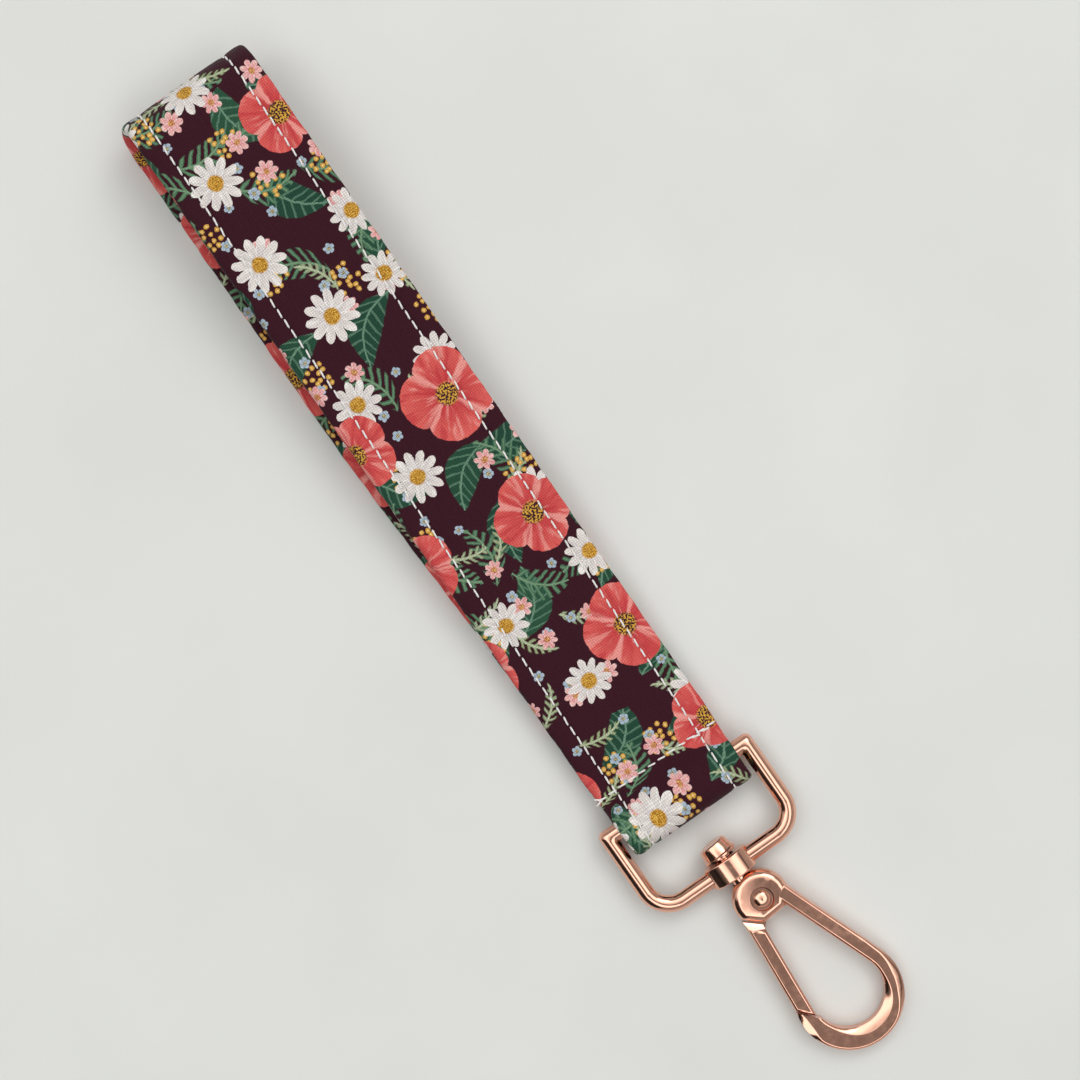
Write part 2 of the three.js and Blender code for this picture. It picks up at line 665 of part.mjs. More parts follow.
function gatePin() {
  const [x, y] = at(PIN_DOWN, PIN_ACROSS);
  const shaft = PIN_DIAMETER / 2;
  const seat = BOSS_THICKNESS / 2 - PIN_RECESS_DEPTH + PIN_CLEARANCE;
  const dome = [
    [shaft, seat],
    [PIN_HEAD_RADIUS, seat],
    ...PIN_DOME.map(([r, h]) => [r * PIN_HEAD_RADIUS, seat + h * PIN_HEAD_HEIGHT]),
  ];
  const profile = [...dome.map(([r, h]) => [r, -h]).reverse(), ...dome]
    .map(([r, h]) => new THREE.Vector2(r, h));
  const turned = new THREE.LatheGeometry(profile, ROUND_SIDES).rotateX(Math.PI / 2);
  return toGeometry(toSolid(turned.translate(x, y, 0)));
}

// A torsion spring: one unbroken wire of a coil round the pin and two straight legs
function gateSpring() {
  const [x, y] = at(PIN_DOWN, PIN_ACROSS);
  const points = [];
  const steps = Math.round(COIL_STEPS * SPRING_COILS);
  const first = springLeg(SPRING_START_DEG, -1);
  const last = springLeg(SPRING_START_DEG + 360 * SPRING_COILS, 1);
  const top = springBottom + SPRING_COILS * SPRING_PITCH;
  points.push(first.start.clone().addScaledVector(first.along, SPRING_LEG).setZ(springBottom));
  for (let i = 0; i <= steps; i += 1) {
    const turn = radians(SPRING_START_DEG + (360 * SPRING_COILS * i) / steps);
    points.push(new THREE.Vector3(
      x + SPRING_RADIUS * Math.cos(turn),
      y + SPRING_RADIUS * Math.sin(turn),
      springBottom + (SPRING_PITCH * SPRING_COILS * i) / steps,
    ));
  }
  points.push(last.start.clone().addScaledVector(last.along, SPRING_LEG).setZ(top));
  const up = new THREE.Vector3(0, 0, 1);
  const sides = 5;
  const rings = points.map((point, i) => {
    const before = points[Math.max(i - 1, 0)];
    const after = points[Math.min(i + 1, points.length - 1)];
    const along = after.clone().sub(before).normalize();
    const out = along.clone().cross(up).normalize();
    const lift = out.clone().cross(along);
    return Array.from({ length: sides }, (_, j) => {
      const angle = (2 * Math.PI * j) / sides;
      return point.clone().addScaledVector(out, (SPRING_WIRE / 2) * Math.cos(angle))
        .addScaledVector(lift, (SPRING_WIRE / 2) * Math.sin(angle));
    });
  });
  const cap = Array.from({ length: sides }, (_, j) => new THREE.Vector2(
    Math.cos((2 * Math.PI * j) / sides),
    Math.sin((2 * Math.PI * j) / sides),
  ));
  return loft(rings, cap);
}

const threadMiddle = THREAD_BELOW_FACE + THREAD_THICKNESS / 2;

const strap = new THREE.Group();
strap.add(
  named('strap_cover', strapBand(coverSection), finishes.fabric),
  named('strap_core', strapCore(), finishes.interfacing),
  named('topstitch_left_outer', topstitch(-1, 1), finishes.thread),
  named('topstitch_left_inner', topstitch(-1, -1), finishes.thread),
  named('topstitch_right_outer', topstitch(1, 1), finishes.thread),
  named('topstitch_right_inner', topstitch(1, -1), finishes.thread),
  named('cross_stitch_front', crossStitch(topLayerHeight + half - threadMiddle), finishes.thread),
  named('cross_stitch_back', crossStitch(threadMiddle), finishes.thread),
  named('end_seam_outer', endSeamZigzag(threadMiddle), finishes.thread),
  named('end_seam_inner', endSeamZigzag(STRAP_THICKNESS - threadMiddle), finishes.thread),
);

const hook = new THREE.Group();
hook.position.y = -RING_PITCH;
hook.rotation.z = radians(HOOK_LEAN_DEG);
hook.add(
  named('swivel_post', swivelPost(), finishes.roseGold),
  named('hook_body', hookBody(), finishes.roseGold),
  named('gate', gate(), finishes.roseGold),
  named('gate_pin', gatePin(), finishes.roseGold),
  named('gate_spring', gateSpring(), finishes.springSteel),
);

// The clasp slopes from the bar, held up by the strap, to the hook's end on the surface
const clasp = new THREE.Group();
const claspReach = RING_PITCH + (BEND_OUTER_DOWN + BEND_OUTER_RADIUS - HOOK_BEVEL)
  * Math.cos(radians(HOOK_LEAN_DEG));
clasp.position.z = barHeight;
clasp.rotation.x = Math.asin((barHeight - HOOK_THICKNESS / 2) / claspReach);
clasp.add(named('ring_frame', ringFrame(), finishes.roseGold), hook);

const wristlet = new THREE.Group();
wristlet.add(strap, clasp);
wristlet.updateMatrixWorld(true);
const outline = new THREE.Box3().setFromObject(wristlet, true);
const middle = outline.getCenter(new THREE.Vector3());
wristlet.position.set(-middle.x, -middle.y, -outline.min.z);

export default wristlet;
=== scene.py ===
"""Wristlet keychain: a sewn cotton wrist loop on a rose gold swivel snap hook, dressed on its
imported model. Lengths named in millimetres are turned to metres where they meet Blender."""
import json
import math

import bpy
import numpy as np
from mathutils import Matrix, Vector


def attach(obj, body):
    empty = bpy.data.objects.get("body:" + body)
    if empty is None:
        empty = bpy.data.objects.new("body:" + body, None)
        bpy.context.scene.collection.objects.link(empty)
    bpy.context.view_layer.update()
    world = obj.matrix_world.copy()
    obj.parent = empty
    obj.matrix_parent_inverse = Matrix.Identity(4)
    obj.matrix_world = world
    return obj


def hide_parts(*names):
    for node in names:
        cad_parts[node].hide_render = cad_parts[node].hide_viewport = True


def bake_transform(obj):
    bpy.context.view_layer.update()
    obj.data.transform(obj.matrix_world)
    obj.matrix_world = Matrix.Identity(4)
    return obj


bl_info = {
    "name": "Wristlet Keychain",
    "version": (1, 0, 0),
    "blender": (4, 5, 0),
    "location": "3D View > Sidebar > Wristlet",
    "description": "Models a printed cotton wrist loop with its stitching and a swivel snap hook",
    "category": "Add Mesh",
}

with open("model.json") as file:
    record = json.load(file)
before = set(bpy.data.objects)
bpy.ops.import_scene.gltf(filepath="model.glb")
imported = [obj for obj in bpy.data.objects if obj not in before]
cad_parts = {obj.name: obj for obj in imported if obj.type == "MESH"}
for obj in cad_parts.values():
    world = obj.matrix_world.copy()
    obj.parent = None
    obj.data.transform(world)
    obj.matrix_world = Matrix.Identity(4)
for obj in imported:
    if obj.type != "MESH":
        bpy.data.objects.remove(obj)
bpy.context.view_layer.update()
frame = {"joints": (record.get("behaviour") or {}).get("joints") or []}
JOINTS = {joint["name"]: joint for joint in frame["joints"]}
PIN_AXIS = Vector(JOINTS["gate_open"]["axis"]).normalized()
SWIVEL_AXIS = Vector(JOINTS["hook_swivel"]["axis"]).normalized()
MM = 0.001

# The strap, in millimetres, with Y from the middle of the clasp bar and Z from the table
HALF_WIDTH = 12.7
HALF_THICK = 1.2
BAR_HEIGHT = 4.2
SEAM_Y = 20.0
SEAM_HALF_GAP = 0.2
SEAM_SWING = 1.3
BEND_Y = 141.1
BEND_RADIUS = 7.0
BEND_STEPS = 220
TOP_LAYER_HEIGHT = 3.9
LAYERS_PART_Y = 8.2
CROSS_STITCH_Y = 6.2
CROSS_STITCH_END = 11.8
RAMP_FOOT_Y = 5.37
FOLD_Y = -1.5
FOLD_RADIUS = 3.0
FOLD_STEPS = 95
UNDER_SHIFT = 2.0
UNDER_SHIFT_RUN = 70.0
POCKET_NARROWING = 0.35
STITCH_LINE = 8.9
STITCH_DIP = 0.24
CORE_HALF_WIDTH = 8.0
CORE_HALF_THICK = 0.3
ROUTE_STEP = 0.1
ROUTE_OVERRUN = 3.0

# The clasp, in millimetres, from the middle of its bar and the middle of its collar
RING_HALF_WIDTH = 14.55
RING_PITCH = 16.4
RING_WIRE_RADIUS = 1.5
RING_UPPER_CORNER = 0.75
RING_LOWER_CORNER = 4.8
COLLAR_LENGTH = 4.0
COLLAR_BORE_RADIUS = 1.975

# The hook's own measures, in millimetres, as in the CAD source
PIN_DOWN = 7.5
PIN_ACROSS = 0.7
BOSS_RADIUS = 5.1
BOSS_THICK = 5.0
BOSS_SIDE = 3.7
HOOK_THICK = 3.6
ARM_WIDTH = 2.9
ARM_TOP = 8.5
ARM_LEAN = math.radians(15.8)
BEND_INNER = (29.85, 1.9)
BEND_INNER_RADIUS = 6.5
BEND_OUTER = (30.5, 1.65)
BEND_OUTER_RADIUS = 9.7
GATE_LEAN = math.radians(9.2)
GATE_OFFSET = 3.5
GATE_WIDTH = 2.8
GATE_LENGTH = 21.5
GATE_THICK = 3.4
GATE_GAP = 0.35
GATE_SIDE_RADIUS = 4.18
TONGUE_RADIUS = 2.9
TONGUE_THICK = 2.2
PIN_HOLE_RADIUS = 1.1
TIP_SLOPE = 1 / math.tan(math.radians(46.5))
SHOULDER = math.radians(-36.9)
POCKET_TOP = 1.1
POCKET_DEPTH = 1.6
SPRING_RADIUS = 1.42
SPRING_LEG = 2.75
SPRING_START = 295
SPRING_COILS = 2.25
SPRING_PITCH = 0.49
SPRING_WIRE_RADIUS = 0.15
SPRING_FLOOR_GAP = 0.15
SPRING_BOTTOM = POCKET_TOP - POCKET_DEPTH + SPRING_FLOOR_GAP + SPRING_WIRE_RADIUS
SPRING_TOP = SPRING_BOTTOM + SPRING_COILS * SPRING_PITCH


def linear(hex_text):
    """An sRGB hex colour as the linear RGBA that Blender's sockets take"""
    channels = [int(hex_text[i:i + 2], 16) / 255 for i in (1, 3, 5)]
    lit = [c / 12.92 if c <= 0.04045 else ((c + 0.055) / 1.055) ** 2.4 for c in channels]
    return (*lit, 1.0)


def size_setting(name, description, default, low, high):
    """A length that can be changed, from millimetres"""
    return bpy.props.FloatProperty(
        name=name, description=description, default=default * MM, min=low * MM, max=high * MM,
        precision=5, unit="LENGTH")


def colour_setting(name, description, default):
    """A colour that can be changed, from its sRGB hex"""
    return bpy.props.FloatVectorProperty(
        name=name, description=description, default=linear(default), subtype="COLOR", size=4,
        min=0, max=1)


class WristletSizes(bpy.types.PropertyGroup):
    """Sizes that a maker would change"""

    stitch_pitch: size_setting(
        "Stitch pitch", "From one stitch of the topstitching to the next", 2.1, 1.2, 4)
    stitch_length: size_setting("Stitch length", "Visible length of one stitch", 1.74, 0.8, 3)
    thread_width: size_setting(
        "Thread width", "Width of the sewing thread as it lies on the cloth", 0.34, 0.2, 0.8)
    yarn_spacing: size_setting(
        "Yarn spacing", "From one yarn of the cotton weave to the next", 0.42, 0.3, 1)
    rim_bevel: size_setting(
        "Rim bevel", "Width of the bevel round the faces of the hook and the gate", 0.55, 0.3, 0.8)


class WristletColours(bpy.types.PropertyGroup):
    """Colours of the print, the thread and the metal"""

    ground: colour_setting("Cloth ground", "Plum ground of the printed cotton", "#39111e")
    poppy: colour_setting("Poppies", "Coral of the large blooms", "#e2665e")
    daisy: colour_setting("Daisies", "Cream of the thin petals", "#eee6de")
    leaf: colour_setting("Leaves", "Green of the whole leaves", "#2a523c")
    thread: colour_setting("Thread", "Off-white of the sewing thread", "#f1eeea")
    metal: colour_setting("Metal", "Rose gold of the plated castings", "#eeb59c")


def in_mm(size):
    """One of the sizes that can be changed, in millimetres"""
    return getattr(bpy.context.scene.wristlet_sizes, size) / MM


def smooth(t):
    """Goes gently from 0 to 1 as t does"""
    t = np.clip(t, 0, 1)
    return t * t * (3 - 2 * t)


def drawing_plane(joint, across, forward):
    """From a drawing, with its Z along the gate pin, to the place of a joint, given where its X
    and Y point"""
    turned_plane = Matrix((across, forward, PIN_AXIS)).transposed().to_4x4()
    return Matrix.Translation(Vector(JOINTS[joint]["pos_m"])) @ turned_plane


CLASP_PLANE = drawing_plane("ring_tilt", Vector((1, 0, 0)), PIN_AXIS.cross(Vector((1, 0, 0))))
HOOK_PLANE = drawing_plane("hook_swivel", PIN_AXIS.cross(SWIVEL_AXIS), -SWIVEL_AXIS)


class Route:
    """The middle line of the strap: from the end seam along the under layer, round the wrist
    loop, back along the top layer, over the clasp bar and under it to the seam again"""

    def __init__(self):
        rise = HALF_THICK + 2 * BEND_RADIUS - TOP_LAYER_HEIGHT
        over_bar = BAR_HEIGHT + FOLD_RADIUS

        def level(start, end):
            count = int(abs(end - start) / ROUTE_STEP)
            return np.linspace(start, end, count, endpoint=False)

        out_y = level(SEAM_Y + SEAM_HALF_GAP - ROUTE_OVERRUN, BEND_Y)
        turn = np.radians(np.linspace(-90, 90, BEND_STEPS, endpoint=False))
        back_y = level(BEND_Y, RAMP_FOOT_Y)
        ramp_y = level(RAMP_FOOT_Y, 0)
        bar_y = level(0, FOLD_Y)
        fold = np.radians(np.linspace(90, 270, FOLD_STEPS, endpoint=False))
        home_y = level(FOLD_Y, SEAM_Y - SEAM_HALF_GAP + ROUTE_OVERRUN)
        lifted = smooth((back_y - LAYERS_PART_Y) / (BEND_Y - LAYERS_PART_Y))
        ramp = smooth(1 - ramp_y / RAMP_FOOT_Y)
        y = np.concatenate([out_y, BEND_Y + BEND_RADIUS * np.cos(turn), back_y, ramp_y, bar_y,
                            FOLD_Y + FOLD_RADIUS * np.cos(fold), home_y])
        z = np.concatenate([np.full(len(out_y), HALF_THICK),
                            HALF_THICK + BEND_RADIUS * (1 + np.sin(turn)),
                            TOP_LAYER_HEIGHT + rise * lifted,
                            TOP_LAYER_HEIGHT + (over_bar - TOP_LAYER_HEIGHT) * ramp,
                            np.full(len(bar_y), over_bar),
                            BAR_HEIGHT + FOLD_RADIUS * np.sin(fold),
                            np.full(len(home_y), HALF_THICK)])
        self.s = np.concatenate([[0], np.cumsum(np.hypot(np.diff(y), np.diff(z)))])
        self.s -= ROUTE_OVERRUN
        self.length = self.s[-1] - ROUTE_OVERRUN
        self.y, self.z = y, z
        top = np.arange(len(y)) >= len(out_y) + len(turn) // 2
        top &= np.arange(len(y)) < len(y) - len(home_y) - len(fold) // 2
        level_now = np.clip((z - HALF_THICK) / (2 * BEND_RADIUS), 0, 1)
        under = np.where(y > BEND_Y, 1 - smooth(level_now), np.where(top, 0.0, 1.0))
        self.x = -UNDER_SHIFT * under * smooth((y - SEAM_Y) / UNDER_SHIFT_RUN)
        heading_y, heading_z = np.gradient(y, self.s), np.gradient(z, self.s)
        size = np.hypot(heading_y, heading_z)
        self.out_y, self.out_z = heading_z / size, -heading_y / size
        pocket = 1 - smooth((y - FOLD_Y) / (2 * CROSS_STITCH_Y))
        self.narrow = 1 - POCKET_NARROWING * pocket / HALF_WIDTH
        self.cross_front = self.where(CROSS_STITCH_Y, top)
        self.cross_back = self.where(CROSS_STITCH_Y, ~top & (self.s > self.length / 2))

    def where(self, y, part):
        """The distance along the route at which one of its parts passes a Y"""
        return float(self.s[part][np.argmin(np.abs(self.y[part] - y))])

    def lay(self, across, along, out):
        """Points of the flat strap, in millimetres, laid on the route, in metres"""
        at = [np.interp(along, self.s, line)
              for line in (self.x, self.y, self.z, self.out_y, self.out_z, self.narrow)]
        bar = JOINTS["ring_tilt"]["pos_m"]
        return np.stack([at[0] * MM + across * at[5] * MM,
                         at[1] * MM + out * at[3] * MM + bar[1],
                         at[2] * MM + out * at[4] * MM], axis=-1)


ROUTE = Route()


def deselect():
    """Leaves edit mode with nothing selected"""
    if bpy.context.object and bpy.context.object.mode == "EDIT":
        bpy.ops.object.mode_set(mode="OBJECT")
    bpy.ops.object.select_all(action="DESELECT")


def named(name):
    """Names the new primitive and its mesh"""
    piece = bpy.context.object
    piece.name = name
    piece.data.name = name
    return piece


def place_points(piece, points):
    """Moves a mesh's points, given in metres"""
    piece.data.vertices.foreach_set("co", np.asarray(points, dtype=np.float32).ravel())
    piece.data.update()


def points_of(piece):
    """A mesh's points in metres"""
    points = np.empty(3 * len(piece.data.vertices), dtype=np.float32)
    piece.data.vertices.foreach_get("co", points)
    return points.reshape(-1, 3)


def pick(piece):
    """Makes one piece the active and only selected one"""
    deselect()
    bpy.context.view_layer.objects.active = piece
    piece.select_set(True)


def edit(piece):
    """Goes into edit mode on a piece, with all of it selected"""
    pick(piece)
    bpy.ops.object.mode_set(mode="EDIT")
    bpy.ops.mesh.select_all(action="SELECT")


def slice_up(piece, cuts):
    """Adds edges where planes, each from a point in metres and a normal, cut a mesh"""
    edit(piece)
    for place, normal in cuts:
        bpy.ops.mesh.select_all(action="SELECT")
        bpy.ops.mesh.bisect(plane_co=place, plane_no=normal)
    bpy.ops.object.mode_set(mode="OBJECT")


def shift(piece, x, y):
    """Moves a mesh within its drawing plane, in millimetres"""
    piece.data.transform(Matrix.Translation((x * MM, y * MM, 0)))
    return piece


def point_outward(piece):
    """Points all faces of a piece outward"""
    edit(piece)
    bpy.ops.mesh.normals_make_consistent(inside=False)
    bpy.ops.object.mode_set(mode="OBJECT")


def finish_normals(piece, angle):
    """Points the faces outward and smooths the edges blunter than an angle in degrees"""
    point_outward(piece)
    bpy.ops.object.shade_smooth_by_angle(angle=math.radians(angle))
    return piece


def dress(piece, body, material, slot, *nodes):
    """Gives a piece its material and its body, if it rides on only one, and hides the CAD nodes it
    stands for
    """
    piece.data.materials.clear()
    piece.data.materials.append(material)
    if body:
        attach(piece, body)
    if nodes:
        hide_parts(*nodes)


def band(name, across, along, out, way):
    """A closed tube laid on the route, from a flat grid: columns go round its section and rows
    along the route. way is the distance round the section, for the UV map."""
    rows, columns = across.shape
    deselect()
    bpy.ops.mesh.primitive_grid_add(x_subdivisions=columns - 1, y_subdivisions=rows - 1, size=1)
    piece = named(name)
    place_points(piece, ROUTE.lay(across, along, out))
    cloth = np.stack([np.tile(way, (rows, 1)), along], axis=-1).reshape(-1, 2) * MM
    corners = np.empty(len(piece.data.loops), dtype=np.int32)
    piece.data.loops.foreach_get("vertex_index", corners)
    piece.data.uv_layers[0].name = "cloth"
    piece.data.uv_layers["cloth"].data.foreach_set("uv", cloth[corners].astype(np.float32).ravel())
    bpy.ops.object.mode_set(mode="EDIT")
    bpy.ops.mesh.select_mode(type="EDGE")
    bpy.ops.mesh.select_all(action="DESELECT")
    bpy.ops.object.mode_set(mode="OBJECT")
    for edge in piece.data.edges:
        a, b = (v % columns for v in edge.vertices)
        edge.select = a == b and a in (0, columns - 1)
    bpy.ops.object.mode_set(mode="EDIT")
    bpy.ops.mesh.bridge_edge_loops()
    bpy.ops.mesh.select_all(action="DESELECT")
    bpy.ops.mesh.select_non_manifold()
    bpy.ops.mesh.edge_face_add()
    bpy.ops.object.mode_set(mode="OBJECT")
    return piece


def stitch_holes(along):
    """How near a place along a stitch line is to a hole of the needle, from 0 to 1"""
    return 0.5 + 0.5 * np.cos(2 * math.pi * along / in_mm("stitch_pitch"))


def cover_section():
    """The band's section, from the slit of the right edge over the outer face, round the left
    fold and over the inner face back to the slit: across, out and the way along the cloth"""
    roll = 0.57
    roll_u = HALF_WIDTH - roll
    roll_w = HALF_THICK - roll
    slit = HALF_THICK - 2 * roll
    fold_u = HALF_THICK - HALF_WIDTH
    near, far = STITCH_LINE - 1, STITCH_LINE + 1
    marks = [fold_u, -far, -near, near, far, roll_u]
    steps = [4, 9, 27, 9, 4]
    face_u = np.concatenate([np.linspace(a, b, n, endpoint=False)
                             for a, b, n in zip(marks, marks[1:], steps)] + [[roll_u]])
    slit_u = np.array([9.8, 10.6, 11.4])
    quarter = np.radians(np.linspace(-90, 90, 8)[:-1])
    half_turn = np.radians(np.linspace(90, 270, 11)[1:-1])
    upper_u = np.concatenate([slit_u, roll_u + roll * np.cos(quarter), face_u[::-1]])
    upper_w = np.concatenate([np.full(len(slit_u), slit), roll_w + roll * np.sin(quarter),
                              np.full(len(face_u), HALF_THICK)])
    fold = [fold_u + HALF_THICK * np.cos(half_turn), HALF_THICK * np.sin(half_turn)]
    across = np.concatenate([upper_u, fold[0], upper_u[::-1]])
    out = np.concatenate([upper_w, fold[1], -upper_w[::-1]])
    way = np.concatenate([[0], np.cumsum(np.hypot(np.diff(across), np.diff(out)))])
    outer_face = slice(len(slit_u), len(upper_u))
    middle = np.interp(0, -upper_u[outer_face], way[outer_face])
    return across, out, middle - way


def cover_relief(across, along, face):
    """How far the face of the band sinks: a crown between the stitch lines, a groove along each
    line that dips at the needle holes, and small puckers that fade away from the lines"""
    crown_depth, shoulder_depth, groove_depth, hole_depth = 0.11, 0.1, 0.16, 0.2
    pucker_depth, swell_depth, cross_depth = 0.05, 0.03, 0.14
    aside = np.abs(across)
    beside = np.abs(aside - STITCH_LINE)
    crown = np.where(aside > STITCH_LINE, np.exp(-(beside / 0.8) ** 2),
                     np.clip(aside / STITCH_LINE, 0, 1) ** 3)
    shoulder = smooth((aside - 11.0) / 1.4)
    groove = (groove_depth + hole_depth * stitch_holes(along)) * np.exp(-(beside / 0.42) ** 2)
    phase = 0.8 * np.sin(along / 7.3 + face) + np.sign(across)
    ripple = np.sin(along * 2.05 + phase) * np.sin(along * 0.83 + 2 * phase)
    pucker = (1 + ripple) * np.exp(-(beside / 1.5) ** 2)
    swell = 1 + np.sin(along / 9.1 + across / 5 + face)
    dents = 0.0
    for middle in (ROUTE.cross_front, ROUTE.cross_back):
        near = np.exp(-((along - middle) / 0.5) ** 2)
        dents = dents + np.where(face > 0, near * (1 + stitch_holes(across)), 0)
    return (crown_depth * crown + shoulder_depth * shoulder + groove + pucker_depth * pucker
            + swell_depth * swell + cross_depth * dents)


def model_cover():
    """The printed band, folded to one inch"""
    across, out, way = cover_section()
    rows_to_a_stitch = 4
    rows = int(ROUTE.length / (in_mm("stitch_pitch") / rows_to_a_stitch)) + 1
    along = np.linspace(0, ROUTE.length, rows)[:, None] * np.ones(len(across))
    u = np.tile(across, (rows, 1))
    w = np.tile(out, (rows, 1))
    on_face = np.clip((np.abs(w) - 0.55) / 0.5, 0, 1) * np.sign(w)
    w = w - on_face * cover_relief(u, along, np.sign(w))
    edge_start, edge_run, edge_wander = 11, 1.7, 0.07
    edge = np.clip(np.abs(u) - edge_start, 0, edge_run) / edge_run
    wander = 1 + np.sin(along * 0.9) * np.sin(along * 0.31 + 1)
    u = u - np.sign(u) * edge * edge_wander * wander
    return finish_normals(band("printed_band", u, along, w, way), 70)


def model_core():
    """The strip of interfacing inside the band"""
    side = np.linspace(-CORE_HALF_WIDTH, CORE_HALF_WIDTH, 9)
    across = np.concatenate([side, side[::-1]])
    out = np.repeat([CORE_HALF_THICK, -CORE_HALF_THICK], len(side))
    way = np.concatenate([side, side[::-1] + 2 * CORE_HALF_WIDTH + 2])
    rows = 301
    along = np.linspace(0, ROUTE.length, rows)[:, None] * np.ones(len(across))
    piece = band("interfacing_strip", np.tile(across, (rows, 1)), along,
                 np.tile(out, (rows, 1)), way)
    return finish_normals(piece, 60)


def model_stitch():
    """One stitch as seen on the cloth, from -1 to 1 along X: a twisted thread, full in the
    middle, that dives into a needle hole at each end"""
    deselect()
    bpy.ops.mesh.primitive_cylinder_add(vertices=8, radius=1, depth=2, end_fill_type="TRIFAN",
                                        rotation=(0, math.pi / 2, 0))
    piece = named("one_stitch")
    bpy.ops.object.transform_apply(location=True, rotation=True, scale=True)
    slice_up(piece, [((float(cut), 0, 0), (1, 0, 0)) for cut in np.linspace(-0.75, 0.75, 7)])
    points = points_of(piece)
    girth = np.clip(1.12 - np.abs(points[:, 0]) ** 4 * 0.62, 0, 1)
    points[:, 1] *= girth
    points[:, 2] *= girth
    place_points(piece, points)
    return piece


def sew(name, ends, face, level):
    """Copies the stitch to each pair of ends on the strap: across and along, in millimetres.
    face is 1 on the outside of the loop and -1 inside it."""
    one = model_stitch()
    shape = points_of(one)
    faces = [list(polygon.vertices) for polygon in one.data.polygons]
    corner_uv = np.empty(2 * len(one.data.loops), dtype=np.float32)
    one.data.uv_layers[0].data.foreach_get("uv", corner_uv)
    bpy.data.objects.remove(one)
    thick = in_mm("thread_width") / 2
    flattened = 0.72
    usual_skew, skew_spread = 0.1, 0.03
    rng = np.random.default_rng(len(name))
    all_points, all_faces = [], []
    for i, (u0, s0, u1, s1) in enumerate(ends):
        along = np.array([u1 - u0, s1 - s0])
        size = math.hypot(*along)
        along = along / size
        skew = usual_skew + rng.normal(0, skew_spread)
        sideways = np.array([-along[1], along[0]])
        t = shape[:, 0] * size / 2
        side = shape[:, 1] * thick + t * skew
        height = level - STITCH_DIP * np.abs(shape[:, 0]) ** 2.4 + shape[:, 2] * thick * flattened
        middle = np.array([(u0 + u1) / 2, (s0 + s1) / 2])
        flat = middle + t[:, None] * along + side[:, None] * sideways
        all_points.append(ROUTE.lay(flat[:, 0], flat[:, 1], face * height))
        all_faces += [[v + i * len(shape) for v in polygon] for polygon in faces]
    mesh = bpy.data.meshes.new(name)
    mesh.from_pydata(np.concatenate(all_points).tolist(), [], all_faces)
    mesh.uv_layers.new(name="thread")
    mesh.uv_layers["thread"].data.foreach_set("uv", np.tile(corner_uv, len(ends)))
    piece = bpy.data.objects.new(name, mesh)
    bpy.context.scene.collection.objects.link(piece)
    return finish_normals(piece, 60)


def stitch_ends(first, last):
    """Where the stitches of a line begin and end, from the first to the last number along it"""
    pitch, half = in_mm("stitch_pitch"), in_mm("stitch_length") / 2
    return [((i + 0.5) * pitch - half, (i + 0.5) * pitch + half) for i in range(first, last + 1)]


def line_of_stitches(across):
    """The ends of the stitches of one line along the whole strap"""
    bare_end = 4
    last = int((ROUTE.length - bare_end) / in_mm("stitch_pitch")) - 1
    return [(across, start, across, end) for start, end in stitch_ends(1, last)]


def row_of_stitches(along):
    """The ends of the stitches of a row across the strap"""
    last = math.floor(CROSS_STITCH_END / in_mm("stitch_pitch") - 0.5)
    return [(start, along, end, along) for start, end in stitch_ends(-last - 1, last)]


def outline_solid(name, outline, thick, bevel=0.0, segments=1, height=0.0):
    """A flat outline in millimetres given a thickness, with its rims bevelled"""
    deselect()
    bpy.ops.mesh.primitive_circle_add(vertices=len(outline), radius=1, fill_type="NGON")
    piece = named(name)
    bottom = height - thick / 2
    place_points(piece, [(x * MM, y * MM, bottom * MM) for x, y in outline])
    edit(piece)
    bpy.ops.mesh.extrude_region_move(TRANSFORM_OT_translate={"value": (0, 0, thick * MM)})
    bpy.ops.mesh.select_all(action="SELECT")
    bpy.ops.mesh.normals_make_consistent(inside=False)
    if bevel:
        bpy.ops.mesh.select_mode(type="EDGE")
        bpy.ops.mesh.select_all(action="DESELECT")
        bpy.ops.object.mode_set(mode="OBJECT")
        for edge in piece.data.edges:
            a, b = (piece.data.vertices[v].co.z for v in edge.vertices)
            edge.select = abs(a - b) < thick * MM / 4
        bpy.ops.object.mode_set(mode="EDIT")
        bpy.ops.mesh.bevel(offset=bevel * MM, offset_type="OFFSET", segments=segments,
                           affect="EDGES", clamp_overlap=False)
    bpy.ops.object.mode_set(mode="OBJECT")
    return piece


def turned(name, profile, sides=64, axis="Z"):
    """A solid of revolution about its own axis from radii and heights in millimetres"""
    deselect()
    first_radius, first_height = profile[0]
    bpy.ops.mesh.primitive_circle_add(vertices=sides, radius=first_radius * MM, fill_type="NGON",
                                      location=(0, 0, first_height * MM))
    piece = named(name)
    bpy.ops.object.transform_apply(location=True, rotation=True, scale=True)
    edit(piece)
    for (r0, h0), (r1, h1) in zip(profile, profile[1:]):
        bpy.ops.mesh.extrude_region_move(TRANSFORM_OT_translate={"value": (0, 0, (h1 - h0) * MM)})
        bpy.ops.transform.resize(value=(r1 / r0, r1 / r0, 1), center_override=(0, 0, h1 * MM))
    point_outward(piece)
    if axis == "Y":
        piece.data.transform(Matrix.Rotation(-math.pi / 2, 4, "X"))
    return piece


def mirrored(upper):
    """A profile together with its mirror image below it"""
    return [(x, -height) for x, height in reversed(upper)] + upper


def combine(piece, tool, operation):
    """Joins a tool to a piece or cuts it away, and removes the tool"""
    pick(piece)
    change = piece.modifiers.new(operation.title(), "BOOLEAN")
    change.object = tool
    change.operation = operation
    change.solver = "EXACT"
    bpy.ops.object.modifier_apply(modifier=change.name)
    bpy.data.objects.remove(tool)


